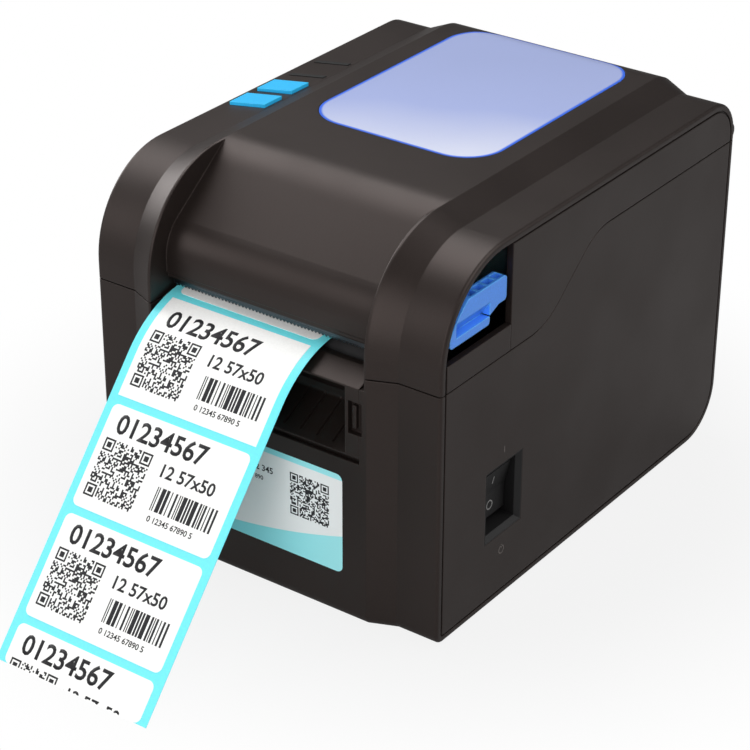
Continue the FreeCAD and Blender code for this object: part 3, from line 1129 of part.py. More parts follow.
def make_label_web():
    """The web from the roll over the platen, drooping to the desk, and the labels on its hanging part."""
    web = new_body("label_web")
    turn_in = "web_bend_start - web_bend * tan(web_slope / 2)"
    end_up = "(web_end - foot_height)"
    end_back = f"({turn_in} - (web_height - {end_up}) / tan(web_slope))"
    pad(web, "side", "-web_left", WEB_RIGHT, [
        ("roll_back", "web_height"), ("roll_back", WEB_TOP),
        (f"{turn_in} - web_thick * tan(web_slope / 2)", WEB_TOP, "web_bend + web_thick"),
        (f"{end_back} - web_thick * sin(web_slope)", f"{end_up} + web_thick * cos(web_slope)"),
        (end_back, end_up), (turn_in, "web_height", "web_bend")])

    # The labels have a frame of their own: its origin is where the bend ends, its y runs up the slope.
    outer = "(web_bend + web_thick)"
    labels = new_body("labels", f"web_bend_start - {outer} * sin(web_slope)",
                      f"web_height - web_bend + {outer} * cos(web_slope)", "web_slope")
    middle = f"({WEB_RIGHT} - web_left) / 2"
    edges = (f"{middle} - label_width / 2", f"{middle} + label_width / 2")
    gap = "(label_pitch - label_length)"
    slope_left = f"((web_height - web_bend + web_bend * cos(web_slope) - {end_up}) / sin(web_slope))"
    first = f"label_lead + {gap} / 2"
    for index in range(LABELS_DOWN):
        top = f"(-({first}) - {index} * label_pitch)"
        bottom = f"max({top} - label_length; -{slope_left})"
        pad(labels, "top", "0", "label_thick", box(*edges, bottom, top, "label_corner"))
    swing = f"((label_length - label_lead + {gap} / 2) / {outer} * 180 / pi)"
    stub = "label_corner"
    reach = f"({outer} * tan({swing} / 2) + {stub})"
    high = f"({outer} + label_thick)"
    pad(labels, "side", *edges, [
        (f"{gap} / 2 - label_lead", "0"), (f"{outer} * tan({swing} / 2)", "0", outer),
        (f"{outer} * tan({swing} / 2) + {reach} * cos({swing})", f"-{reach} * sin({swing})"),
        (f"{outer} * tan({swing} / 2) + {reach} * cos({swing}) + label_thick * sin({swing})",
         f"label_thick * cos({swing}) - {reach} * sin({swing})"),
        (f"{high} * tan({swing} / 2)", "label_thick", high), (f"{gap} / 2 - label_lead", "label_thick")])


def write_parts():
    """Check every object of the document, then write one file for each sub-part."""
    doc.recompute()
    failed = [o.Label for o in doc.Objects if {"Invalid", "Error"} & set(o.State)]
    bodies = [o for o in doc.Objects if o.TypeId == "PartDesign::Body"]
    failed += [b.Label for b in bodies if b.Shape.isNull() or not b.Shape.isValid() or not b.Shape.Solids]
    if failed:
        raise RuntimeError("these failed: " + ", ".join(failed))
    os.makedirs("parts", exist_ok=True)
    for body in bodies:
        body.Shape.exportStep(f"parts/{body.Label}.step")


make_upper_cover()
make_lid_fittings()
make_buttons()
make_latch()
make_print_head()
make_lower_housing()
make_base_fittings()
make_front_panel()
make_power_switch()
make_feed()
make_label_bay()
make_label_web()
write_parts()
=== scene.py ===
"""Looks of a desktop thermal label printer: finishes, printed labels, marks and a plain studio."""
import math
import random

import bpy
from mathutils import Matrix, Vector


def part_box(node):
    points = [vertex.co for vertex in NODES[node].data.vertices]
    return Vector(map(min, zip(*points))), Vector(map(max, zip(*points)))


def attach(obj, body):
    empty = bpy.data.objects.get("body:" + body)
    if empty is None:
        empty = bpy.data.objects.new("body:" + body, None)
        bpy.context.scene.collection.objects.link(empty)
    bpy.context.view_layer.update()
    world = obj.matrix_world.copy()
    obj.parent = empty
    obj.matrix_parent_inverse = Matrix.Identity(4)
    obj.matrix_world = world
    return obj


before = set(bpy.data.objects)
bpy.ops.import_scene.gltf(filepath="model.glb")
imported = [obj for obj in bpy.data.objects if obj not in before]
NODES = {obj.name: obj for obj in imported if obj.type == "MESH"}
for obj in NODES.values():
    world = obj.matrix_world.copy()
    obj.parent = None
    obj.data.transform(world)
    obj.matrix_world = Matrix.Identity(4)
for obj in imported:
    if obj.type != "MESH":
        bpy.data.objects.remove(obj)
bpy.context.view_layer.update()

bl_info = {
    "name": "Label printer looks",
    "version": (1, 0, 0),
    "blender": (4, 5, 0),
    "location": "3D View > Sidebar > Printer",
    "description": "Finishes, printed labels, marks and a studio for a desktop label printer",
    "category": "Object",
}

MM = 0.001

# Sizes in millimetres, as the source has them: across from the middle, back from the front strips and up from
# the case's underside.
HALF_DEPTH, FOOT = 96.0, 1.5
INK = 0.02

# The fold between the crown and the middle panel: its place, half its width, how far its bend reaches, and
# the panel's lean. Only faces that look up at least this much belong to the outside.
FOLD_BACK, FOLD_HALF, FOLD_REACH, FOLD_LEAN = 39.0, 46.8, 9.0, math.atan2(25.0, 34.0)
FOLD_FACING = 0.6

# The window's corners, and the tinted rim's start and full strength, from its edge.
WINDOW_CORNER, WINDOW_RIM_START, WINDOW_RIM_FULL = 15.85, 1.6, 0.5

# The label strip: its bend's axis and radius, its slope, its middle, and the length of its slope.
STRIP_BEND_BACK, STRIP_BEND_UP, STRIP_BEND, STRIP_SLOPE = 13.8, 58.4, 42.2, math.radians(49.35)
STRIP_MIDDLE, STRIP_END = -11.0, 114.4

# The labels, and the middle of the first gap below the bend.
LABEL_WIDE, LABEL_LONG, LABEL_CORNER, LABEL_THICK = 60.5, 37.7, 2.5, 0.12
LABEL_PITCH, FIRST_GAP = 40.7, 17.0
LABEL_GAP = LABEL_PITCH - LABEL_LONG
PRINTED_LABELS, BLANK_LABELS = 4, 3

# Lines of numbers: text, size, left end and foot, from the middle of the label's lower edge. The strokes grow
# by a share of the size.
LABEL_LINES = (
    ("01234567", 9.8, -25.5, 28.2), ("12 57x50", 6.4, -2.0, 19.8), ("0 12345 67890 5", 2.9, 1.0, 4.2))
BOLD = 0.02

# Patterns of blocks and bars: how many, which share of them is dark, and where they stand on a label.
BLOCK_COUNT, BLOCK_SHARE, BLOCK_EYE = 33, 0.5, 7
BLOCKS_LEFT, BLOCKS_LOW = -27.5, 4.6
BAR_COUNT, BAR_SHARE = 62, 0.55
BARS_LEFT, BARS_LOW, BARS_TALL = 0.5, 8.0, 8.5
LABEL_SEED, STICKER_SEED = 11, 5

# The sticker on the front, its lift off the panel, its border and band, and its print.
STICKER_LOW, STICKER_HIGH, STICKER_HALF, STICKER_CORNER = 18.2, 57.6, 37.0, 2.5
STICKER_LIFT, STICKER_THICK = 0.06, 0.05
BORDER, BAND_LOW, BAND_RISE, BAND_EDGE = 2.2, 3.0, 12.0, 0.05
STICKER_LINES = (("012 345", 3.4, -4.0, 47.4), ("67 890", 2.4, -4.0, 43.6))
STICKER_BLOCKS, STICKER_BLOCKS_LEFT, STICKER_BLOCKS_LOW = 16.8, 14.5, 34.5
CORNER_STEPS = 6

# Marks beside the switch and on its rocker: places back and up, sizes and strokes.
ON_BACK, ON_UP, ON_TALL, ON_STROKE = 39.4, 60.4, 2.6, 0.5
POWER_BACK, POWER_UP, POWER_RADIUS, POWER_STROKE, POWER_GAP = 39.3, 19.6, 1.7, 0.45, 0.5
STEM_RISE, STEM_TALL = 1.4, 1.6
ROCKER_FACE, ROCKER_BACK, ROCKER_UP, ROCKER_LEAN = 68.2, 39.75, 40.75, math.radians(14)
RING_DROP, RING_RADIUS, RING_STROKE = 5.2, 1.9, 0.5
BAR_RISE, BAR_TALL, BAR_STROKE = 5.4, 3.4, 0.6
BAR_ROUND, BAR_STEPS = 0.45, 4
TO_RIGHT, TO_FRONT = (math.pi / 2, 0, math.pi / 2), (math.pi / 2, 0, 0)

# The wound roll: the rings drawn on its ends, and the skin that shows the outermost labels.
ROLL_RING, ROLL_SKIN = 0.8, 0.4

# The axis along which a metal's lines run.
ALONG_X, ALONG_Y = 0, 1

# The stage, in metres. The floor is white, greyer near the case by painted shade, and much fainter in glossy
# faces.
FLOOR_SIZE, FLOOR_NEAR, FLOOR_FAR, FLOOR_PAINTED_SHADE = 12, 0.1, 0.22, 0.86
FLOOR_GLEAM, SKY_LIGHT = 0.2, 0.14
# Lamps: place, the point that each faces, size, and whether glossy faces mirror it.
LAMPS = {
    "key": ((0.55, -1.05, 0.55), (0, -0.05, 0.08), (0.8, 0.8), False),
    "top": ((-0.5, 0.22, 1.1), (0, -0.02, 0.12), (0.9, 0.7), True),
    "front": ((0.25, -1.15, 0.5), (0, -0.05, 0.08), (0.5, 0.9), True),
    "fill": ((-0.7, -0.95, 0.5), (0, -0.05, 0.08), (0.5, 0.7), True),
    "side": ((0.95, 0.3, 1.0), (0, 0, 0.05), (1.3, 1.3), True),
    "rim": ((-1.0, 0.05, 0.5), (0, 0, 0.1), (0.5, 0.7), True),
}
# The camera's place in the case's millimetres, and its turn, tilt and roll.
CAMERA_PLACE = (469.2, -582.1, 494.5)
CAMERA_TURN, CAMERA_TILT, CAMERA_ROLL = math.radians(35.92), math.radians(28.87), math.radians(0.21)


def linear(text):
    """Linear colour of an sRGB hex value."""
    parts = [int(text[i:i + 2], 16) / 255 for i in (1, 3, 5)]
    return (*[p / 12.92 if p <= 0.04045 else ((p + 0.055) / 1.055) ** 2.4 for p in parts], 1.0)


def case_point(across, back, up):
    """A point given in the case's own millimetres, in metres from the middle of the footprint."""
    return Vector((across, back - HALF_DEPTH, up + FOOT)) * MM


def strip_point(across, along, lift):
    """A point on the label strip: along runs up the slope, over the bend and back to the roll."""
    bend = STRIP_SLOPE * STRIP_BEND
    turn = STRIP_SLOPE - min(max(along, 0), bend) / STRIP_BEND
    out = Vector((0, -math.sin(turn), math.cos(turn)))
    place = Vector((across, STRIP_BEND_BACK, STRIP_BEND_UP)) + out * (STRIP_BEND + lift)
    place += Vector((0, math.cos(STRIP_SLOPE), math.sin(STRIP_SLOPE))) * min(along, 0)
    place.y += max(along - bend, 0)
    return case_point(*place)


def colour(name, words, text):
    """A colour that a user may change."""
    return bpy.props.FloatVectorProperty(
        name=name, description=words, subtype="COLOR", size=4, min=0, max=1, default=linear(text))


def length(name, words, value):
    """A length that a user may change, given in millimetres."""
    return bpy.props.FloatProperty(
        name=name, description=words, unit="LENGTH", min=0, precision=5, default=value * MM)


def power(name, words, value):
    """A lamp's power that a user may change, in watts."""
    return bpy.props.FloatProperty(name=name, description=words, subtype="POWER", min=0, default=value)


class CaseLooks(bpy.types.PropertyGroup):
    """Colours and grain of the moulded pieces."""
    shell: colour("Shell", "Outer mouldings of the case", "#191412")
    inside: colour("Inside", "Inner mouldings", "#120f0f")
    grain: length("Grain", "Spacing of the mould's spark-eroded grain", 0.6)
    edge: length("Edge", "Softness of the moulded edges", 0.6)
    sheen: colour("Sheen", "Tint of the case's reflections", "#ffeae4")
    window: colour("Window", "Frosted top window", "#aebbea")
    # The window's front is painted paler, a painted highlight.
    window_painted_light: colour("Window front", "Front of the window, where it scatters most light", "#e4e8fa")
    window_rim: colour("Window rim", "Edge of the window, where the tint is deepest", "#2f6cee")
    key: colour("Keys", "Push keys", "#2fbcfa")
    lever: colour("Levers", "Latch levers and roll holders", "#4a90f2")


class LabelLooks(bpy.types.PropertyGroup):
    """Colours and print of the label strip."""
    liner: colour("Liner", "Release paper under the labels", "#6ee6f0")
    paper: colour("Paper", "Face of the labels", "#f4f4f2")
    ink: colour("Print", "Heated thermal coating", "#17161a")
    film: colour("Film", "Sticker on the front", "#f6f8f8")
    band: colour("Band", "Deep end of the sticker's band", "#6fe3ec")
    band_pale: colour("Pale band", "Pale end of the sticker's band", "#a9f3f8")
    card: colour("Card", "Core of the roll", "#a8835a")
    cell: length("Cell", "One square of the block pattern", 0.64)
    bar: length("Bar", "Narrowest bar of the bar pattern", 0.42)


class StageLooks(bpy.types.PropertyGroup):
    """Floor, lamps and camera."""
    floor: colour("Floor", "Pale studio floor", "#989898")
    lens: bpy.props.FloatProperty(
        name="Lens", description="Focal length on a 36 mm frame", subtype="DISTANCE_CAMERA", min=1,
        default=119.4)
    key_power: power("Key", "Large soft lamp before the right front corner", 7.7)
    top_power: power("Top", "Soft lamp above the left side", 6.4)
    front_power: power("Front", "Weak upright lamp that draws the front's highlights", 3.3)
    fill_power: power("Fill", "Weak lamp before the left front corner", 2.1)
    side_power: power("Side", "Wide soft lamp above the right side", 10)
    rim_power: power("Rim", "Soft lamp beside the left side", 6.0)


def node(tree, kind, inputs=(), stops=(), **settings):
    """Add one shader node; an input is a value or the socket that feeds it, and stops fill a colour ramp."""
    made = tree.nodes.new("ShaderNode" + kind)
    for name, value in settings.items():
        setattr(made, name, value)
    for position, _ in stops[1:-1]:
        made.color_ramp.elements.new(position)
    for element, (position, shade) in zip(made.color_ramp.elements if stops else (), stops):
        element.position, element.color = position, shade
    for name, value in dict(inputs).items():
        if isinstance(value, bpy.types.NodeSocket):
            tree.links.new(value, made.inputs[name])
        else:
            made.inputs[name].default_value = value
    return made


def blank(name):
    """A material with an empty node tree and its object coordinates."""
    material = bpy.data.materials.new(name)
    material.use_nodes = True
    tree = material.node_tree
    tree.nodes.clear()
    place = node(tree, "TexCoord").outputs["Object"]
    return material, tree, place


def scaled(shade, amount):
    """A colour made darker or lighter by an amount."""
    return (*[min(1, part * amount) for part in shade[:3]], 1.0)


def moulded(name, shade, grain, edge, rough, bump, contrast=0.2, coat=0.0, edge_highlight=1.0, sheen=(1, 1, 1, 1)):
    """Thermoplastic from a textured mould: a fine pebbled grain, soft edges with a painted highlight and a
    satin sheen.
    """
    if name in bpy.data.materials:
        return bpy.data.materials[name]
    material, tree, place = blank(name)
    grit = node(tree, "TexNoise", {"Vector": place, "Scale": 1 / grain, "Detail": 3, "Roughness": 0.6})
    tone = node(tree, "ValToRGB", {"Fac": grit.outputs["Fac"]},
                ((0.3, scaled(shade, 1 - contrast)), (0.7, scaled(shade, 1 + contrast))))
    # The gloss varies a little in patches of about 40 mm.
    cloud = node(tree, "TexNoise", {"Vector": place, "Scale": 1 / (40 * MM), "Detail": 2})
    gloss = node(tree, "MapRange", {"Value": cloud.outputs["Fac"], "From Min": 0.3, "From Max": 0.7,
                                    "To Min": rough - 0.04, "To Max": rough + 0.05})
    # An edge is where the rounded normal leaves the face's own; there the colour gets a painted highlight.
    rim = node(tree, "Bevel", {"Radius": edge}, samples=6)
    face = node(tree, "NewGeometry")
    turn = node(tree, "VectorMath", {0: rim.outputs["Normal"], 1: face.outputs["Normal"]},
                operation="DOT_PRODUCT")
    edge_highlight_mask = node(tree, "MapRange", {"Value": turn.outputs["Value"], "From Min": 0.97, "From Max": 0.8})
    tone = node(tree, "Mix", {"Factor": edge_highlight_mask.outputs["Result"], "A": tone.outputs["Color"],
                              "B": scaled(shade, edge_highlight)}, data_type="RGBA")
    relief = node(tree, "Bump", {"Height": grit.outputs["Fac"], "Strength": bump, "Distance": 0.05 * MM,
                                 "Normal": rim.outputs["Normal"]})
    skin = node(tree, "BsdfPrincipled", {
        "Base Color": tone.outputs["Result"], "Roughness": gloss.outputs["Result"], "IOR": 1.53,
        "Specular Tint": sheen, "Coat Weight": coat, "Coat Roughness": 0.12,
        "Normal": relief.outputs["Normal"]})
    node(tree, "OutputMaterial", {"Surface": skin.outputs[0]})
    return material


def metal(name, shade, rough, run, spacing, depth):
    """Metal with fine lines along one direction, as rolled, drawn or brushed."""
    if name in bpy.data.materials:
        return bpy.data.materials[name]
    material, tree, place = blank(name)
    across = Vector((1, 1, 1)) / (spacing * MM)
    stretch = Vector([across[i] * (0.02 if i == run else 1) for i in range(3)])
    lay = node(tree, "Mapping", {"Vector": place, "Scale": stretch})
    lines = node(tree, "TexNoise", {"Vector": lay.outputs["Vector"], "Scale": 1, "Detail": 2})
    tone = node(tree, "ValToRGB", {"Fac": lines.outputs["Fac"]},
                ((0.3, scaled(shade, 0.82)), (0.7, scaled(shade, 1.08))))
    gloss = node(tree, "MapRange", {"Value": lines.outputs["Fac"], "To Min": rough - 0.08,
                                    "To Max": rough + 0.1})
    rim = node(tree, "Bevel", {"Radius": 0.15 * MM}, samples=4)
    relief = node(tree, "Bump", {"Height": lines.outputs["Fac"], "Strength": depth, "Distance": 0.02 * MM,
                                 "Normal": rim.outputs["Normal"]})
    skin = node(tree, "BsdfPrincipled", {
        "Base Color": tone.outputs["Color"], "Metallic": 1.0, "Roughness": gloss.outputs["Result"],
        "Normal": relief.outputs["Normal"]})
    node(tree, "OutputMaterial", {"Surface": skin.outputs[0]})
    return material


def paper(name, shade, rough, sheen):
    """Smooth coated paper: faint fibres in its colour and a slightly uneven gloss."""
    if name in bpy.data.materials:
        return bpy.data.materials[name]
    material, tree, place = blank(name)
    fibre = node(tree, "TexNoise", {"Vector": place, "Scale": 1 / (0.9 * MM), "Detail": 4, "Roughness": 0.7})
    tone = node(tree, "ValToRGB", {"Fac": fibre.outputs["Fac"]},
                ((0.3, scaled(shade, 0.95)), (0.7, scaled(shade, 1.02))))
    gloss = node(tree, "MapRange", {"Value": fibre.outputs["Fac"], "To Min": rough - 0.05,
                                    "To Max": rough + 0.05})
    relief = node(tree, "Bump", {"Height": fibre.outputs["Fac"], "Strength": 0.08, "Distance": 0.02 * MM})
    skin = node(tree, "BsdfPrincipled", {
        "Base Color": tone.outputs["Color"], "Roughness": gloss.outputs["Result"], "Sheen Weight": sheen,
        "Normal": relief.outputs["Normal"]})
    node(tree, "OutputMaterial", {"Surface": skin.outputs[0]})
    return material


def dress(material, *names):
    """Give CAD nodes a finish."""
    for name in names:
        for slot in NODES[name].material_slots:
            slot.material = material


def begin():
    """Leave edit mode and select nothing."""
    if bpy.context.object and bpy.context.object.mode != "OBJECT":
        bpy.ops.object.mode_set(mode="OBJECT")
    bpy.ops.object.select_all(action="DESELECT")


def take(piece):
    """Select one piece alone and make it active."""
    begin()
    piece.select_set(True)
    bpy.context.view_layer.objects.active = piece


def copied(piece):
    """A copy of a piece, with a mesh of its own."""
    take(piece)
    bpy.ops.object.duplicate()
    return bpy.context.object


def pick_faces(piece, test):
    """Enter edit mode with only those faces selected whose middle passes the test."""
    bpy.ops.object.mode_set(mode="OBJECT")
    for part in (piece.data.vertices, piece.data.edges):
        part.foreach_set("select", [False] * len(part))
    for face in piece.data.polygons:
        face.select = test(face.center)
    bpy.ops.object.mode_set(mode="EDIT")
    bpy.ops.mesh.select_mode(type="FACE")


def rounded(wide, tall, corner, steps, place, rotation=(0, 0, 0)):
    """A flat plate with rounded corners, left in edit mode and with its place not yet applied."""
    begin()
    bpy.ops.mesh.primitive_plane_add(size=1, location=place, rotation=rotation)
    piece = bpy.context.object
    piece.scale = (wide, tall, 1)
    bpy.ops.object.transform_apply(location=False, rotation=True, scale=True)
    bpy.ops.object.mode_set(mode="EDIT")
    bpy.ops.mesh.select_all(action="SELECT")
    bpy.ops.mesh.bevel(offset=corner, segments=steps, affect="VERTICES")
    return piece


def thicken(shift):
    """Give the flat mesh in edit mode a thickness, and leave edit mode."""
    bpy.ops.mesh.select_all(action="SELECT")
    bpy.ops.mesh.extrude_region_move(TRANSFORM_OT_translate={"value": shift})
    bpy.ops.mesh.select_all(action="SELECT")
    bpy.ops.mesh.normals_make_consistent()
    bpy.ops.object.mode_set(mode="OBJECT")


def settle(piece, name, material, body):
    """Apply a finished piece's place, name it, and let it ride on its body."""
    take(piece)
    bpy.ops.object.transform_apply(location=True, rotation=True, scale=True)
    piece.name = name
    piece.data.name = name
    piece.data.materials.clear()
    piece.data.materials.append(material)
    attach(piece, body)


def join(pieces):
    """Make one object of several."""
    begin()
    for piece in pieces:
        piece.select_set(True)
    bpy.context.view_layer.objects.active = pieces[0]
    bpy.ops.object.join()
    return bpy.context.object


def numbers(text, size, left, low):
    """A line of plain bold numbers, as a flat mesh in millimetres."""
    begin()
    bpy.ops.object.text_add(location=(left, low, 0))
    piece = bpy.context.object
    piece.data.body = text
    piece.data.size = size
    piece.data.offset = BOLD * size
    piece.data.resolution_u = 3
    bpy.ops.object.convert(target="MESH")
    bpy.ops.object.transform_apply(location=True)
    return bpy.context.object


def cells(columns, rows, wide, tall, left, low, dark):
    """A grid in millimetres of which only the dark cells stay."""
    begin()
    bpy.ops.mesh.primitive_grid_add(x_subdivisions=columns, y_subdivisions=rows, size=1,
                                    location=(left + wide / 2, low + tall / 2, 0))
    piece = bpy.context.object
    piece.scale = (wide, tall, 1)
    bpy.ops.object.transform_apply(location=True, rotation=False, scale=True)
    pick_faces(piece, lambda middle: not dark(
        int((middle.x - left) / wide * columns), int((middle.y - low) / tall * rows)))
    bpy.ops.mesh.delete(type="FACE")
    bpy.ops.object.mode_set(mode="OBJECT")
    return piece


def blocks(chance):
    """A random pattern of square blocks with a framed square in three corners; it says nothing."""
    count, last, half = BLOCK_COUNT, BLOCK_COUNT - BLOCK_EYE, BLOCK_EYE // 2
    pattern = [[chance.random() < BLOCK_SHARE for row in range(count)] for column in range(count)]

    def dark(column, row):
        for x, y in ((0, 0), (0, last), (last, last)):
            across, up = column - x, row - y
            if -1 <= across <= BLOCK_EYE and -1 <= up <= BLOCK_EYE:
                ring = max(abs(across - half), abs(up - half))
                return ring == half or ring < half - 1
        return pattern[column][row]
    return dark


def sliced(piece):
    """Cut a flat label or its print across at every millimetre, so that it can follow a bend."""
    take(piece)
    bpy.ops.object.mode_set(mode="EDIT")
    for row in range(1, math.ceil(LABEL_LONG)):
        bpy.ops.mesh.select_all(action="SELECT")
        bpy.ops.mesh.bisect(plane_co=(0, row, 0), plane_no=(0, 1, 0))
    bpy.ops.object.mode_set(mode="OBJECT")


def printed(piece, name, ink, put, thick=INK):
    """Lay a flat print or label on its surface, point by point, with the thickness of its ink or paper."""
    take(piece)
    for point in piece.data.vertices:
        point.co = put(point.co.x, point.co.y)
    bpy.ops.object.modifier_add(type="SOLIDIFY")
    piece.modifiers[-1].thickness = thick * MM
    bpy.ops.object.modifier_apply(modifier=piece.modifiers[-1].name)
    settle(piece, name, ink, "base")


class PRINTER_OT_case(bpy.types.Operator):
    """Finish the outer and inner mouldings of the case"""
    bl_idname = "printer.case"
    bl_label = "Case"

    def ease_fold(self, tree):
        """Let light turn softly over the fold of the crown and the middle panel, as over a moulded bend."""
        source = node(tree, "TexCoord")
        place = node(tree, "SeparateXYZ", {"Vector": source.outputs["Object"]})
        facing = node(tree, "SeparateXYZ", {"Vector": source.outputs["Normal"]})
        fold, reach = case_point(0, FOLD_BACK, 0).y, FOLD_REACH * MM
        turn = node(tree, "MapRange", {
            "Value": place.outputs["Y"], "From Min": fold + reach, "From Max": fold - reach},
            interpolation_type="SMOOTHSTEP")
        lean = node(tree, "Mix", {"Factor": turn.outputs["Result"], "A": (0, 0, 1),
                                  "B": (0, -math.sin(FOLD_LEAN), math.cos(FOLD_LEAN))}, data_type="VECTOR")
        eased = node(tree, "VectorMath", {0: lean.outputs["Result"]}, operation="NORMALIZE")
        eased = node(tree, "VectorTransform", {"Vector": eased.outputs[0]}, vector_type="NORMAL",
                     convert_from="OBJECT", convert_to="WORLD")
        near = node(tree, "Math", {0: place.outputs["Y"], 1: fold, 2: reach}, operation="COMPARE")
        across = node(tree, "Math", {0: place.outputs["X"], 1: 0.0, 2: FOLD_HALF * MM}, operation="COMPARE")
        outer = node(tree, "Math", {0: facing.outputs["Z"], 1: FOLD_FACING}, operation="GREATER_THAN")
        where = node(tree, "Math", {0: near.outputs[0], 1: across.outputs[0]}, operation="MULTIPLY")
        where = node(tree, "Math", {0: where.outputs[0], 1: outer.outputs[0]}, operation="MULTIPLY")
        relief = next(item for item in tree.nodes if item.bl_idname == "ShaderNodeBump")
        rim = relief.inputs["Normal"].links[0].from_socket
        normal = node(tree, "Mix", {"Factor": where.outputs[0], "A": rim, "B": eased.outputs[0]},
                      data_type="VECTOR")
        tree.links.new(normal.outputs["Result"], relief.inputs["Normal"])

    def execute(self, context):
        looks = context.scene.printer_case
        # ABS from a spark-eroded mould: warm black, satin, with a pebbled grain that breaks up highlights.
        # Its edges are painted slightly lighter, a painted highlight.
        shell = moulded("abs_grained", looks.shell, looks.grain, looks.edge, rough=0.42, bump=0.3, edge_highlight=1.3,
                        sheen=looks.sheen)
        self.ease_fold(shell.node_tree)
        dress(shell, "upper_cover", "lower_housing", "front_panel", "lever_sill_left", "lever_sill_right")
        # Smooth black ABS, moulded with little grain: darker, with a slightly sharper sheen.
        # Its edges are painted lighter, a painted highlight.
        inner = moulded("abs_smooth", looks.inside, looks.grain / 2, looks.edge / 2, rough=0.38, bump=0.12,
                        edge_highlight=2.0)
        dress(inner, "bottom_plate", "paper_guide", "gap_sensor", "label_tray")
        return {"FINISHED"}


class PRINTER_OT_window(bpy.types.Operator):
    """Finish the frosted window, painted palest at its front as if lit there, and deepest at its rim"""
    bl_idname = "printer.window"
    bl_label = "Window"

    def execute(self, context):
        looks = context.scene.printer_case
        low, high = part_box("view_window")
        middle = (low + high) / 2
        corner = WINDOW_CORNER * MM
        half = Vector(((high.x - low.x) / 2 - corner, (high.y - low.y) / 2 - corner, 1))
        # Tinted polycarbonate, frosted by its mould: milky, with the tint gathered along its edge.
        material, tree, place = blank("polycarbonate_frosted")
        # The rim follows the window's rounded outline.
        flat = node(tree, "VectorMath", {0: place, 1: (middle.x, middle.y, 0)}, operation="SUBTRACT")
        flat = node(tree, "VectorMath", {0: flat.outputs[0], 1: (1, 1, 0)}, operation="MULTIPLY")
        flat = node(tree, "VectorMath", {0: flat.outputs[0]}, operation="ABSOLUTE")
        past = node(tree, "VectorMath", {0: flat.outputs[0], 1: half}, operation="SUBTRACT")
        past = node(tree, "VectorMath", {0: past.outputs[0], 1: (0, 0, 0)}, operation="MAXIMUM")
        reach = node(tree, "VectorMath", {0: past.outputs[0]}, operation="LENGTH")
        rim = node(tree, "MapRange", {
            "Value": reach.outputs["Value"], "From Min": corner - WINDOW_RIM_START * MM,
            "From Max": corner - WINDOW_RIM_FULL * MM}, interpolation_type="SMOOTHSTEP")
        # Painted light: palest at the right front corner, darker at the left rear one, in soft clouds of
        # about 45 mm.
        parts = node(tree, "SeparateXYZ", {"Vector": place})
        run = node(tree, "MapRange", {"Value": parts.outputs["Y"], "From Min": low.y, "From Max": high.y})
        side = node(tree, "MapRange", {"Value": parts.outputs["X"], "From Min": low.x, "From Max": high.x,
                                       "To Min": 0.18, "To Max": -0.12})
        cloud = node(tree, "TexNoise", {"Vector": place, "Scale": 1 / (45 * MM), "Detail": 1})
        clouds_and_painted_light = node(tree, "Math", {0: cloud.outputs["Fac"], 1: 0.25, 2: run.outputs["Result"]},
                    operation="MULTIPLY_ADD")
        lean = node(tree, "Math", {0: clouds_and_painted_light.outputs[0], 1: side.outputs["Result"]}, operation="ADD")
        tone = node(tree, "ValToRGB", {"Fac": lean.outputs[0]},
                    ((0.05, looks.window_painted_light), (0.5, looks.window), (1.0, scaled(looks.window, 0.92))))
        tint = node(tree, "Mix", {"Factor": rim.outputs["Result"], "A": tone.outputs["Color"],
                                  "B": looks.window_rim}, data_type="RGBA")
        frost = node(tree, "TexNoise", {"Vector": place, "Scale": 1 / (0.5 * MM), "Detail": 2})
        relief = node(tree, "Bump", {"Height": frost.outputs["Fac"], "Strength": 0.1, "Distance": 0.03 * MM})
        skin = node(tree, "BsdfPrincipled", {
            "Base Color": tint.outputs["Result"], "Roughness": 0.3, "IOR": 1.58, "Transmission Weight": 0.12,
            "Coat Weight": 0.3, "Coat Roughness": 0.2, "Normal": relief.outputs["Normal"]})
        node(tree, "OutputMaterial", {"Surface": skin.outputs[0]})
        dress(material, "view_window")
        return {"FINISHED"}


class PRINTER_OT_keys(bpy.types.Operator):
    """Finish the two push keys and the two indicators"""
    bl_idname = "printer.keys"
    bl_label = "Keys"

    def execute(self, context):
        looks = context.scene.printer_case
        # Coloured ABS, polished mould: glossy sky blue.
        # Their edges are painted lighter, a painted highlight.
        dress(moulded("abs_polished_blue", looks.key, looks.grain, edge=0.4 * MM, rough=0.26, bump=0.05,
                      contrast=0.06, coat=0.3, edge_highlight=1.5), "feed_button", "pause_button")
        # Smoked acrylic, with a satin face: black until lit.
        dress(moulded("acrylic_smoked", linear("#050506"), looks.grain, edge=0.2 * MM, rough=0.5, bump=0.03,
                      contrast=0.1), "indicator_pipes")
        return {"FINISHED"}


class PRINTER_OT_levers(bpy.types.Operator):
    """Finish the latch levers and the roll holders"""
    bl_idname = "printer.levers"
    bl_label = "Levers"

    def execute(self, context):
        looks = context.scene.printer_case
        # Blue ABS, polished mould: a waxy royal blue, its bright edges a painted highlight.
        dress(moulded("abs_lever_blue", looks.lever, looks.grain, edge=0.6 * MM, rough=0.3, bump=0.05,
                      contrast=0.08, coat=0.3, edge_highlight=2.0),
              "latch_lever_left", "latch_lever_right", "roll_holder_left", "roll_holder_right")
        return {"FINISHED"}


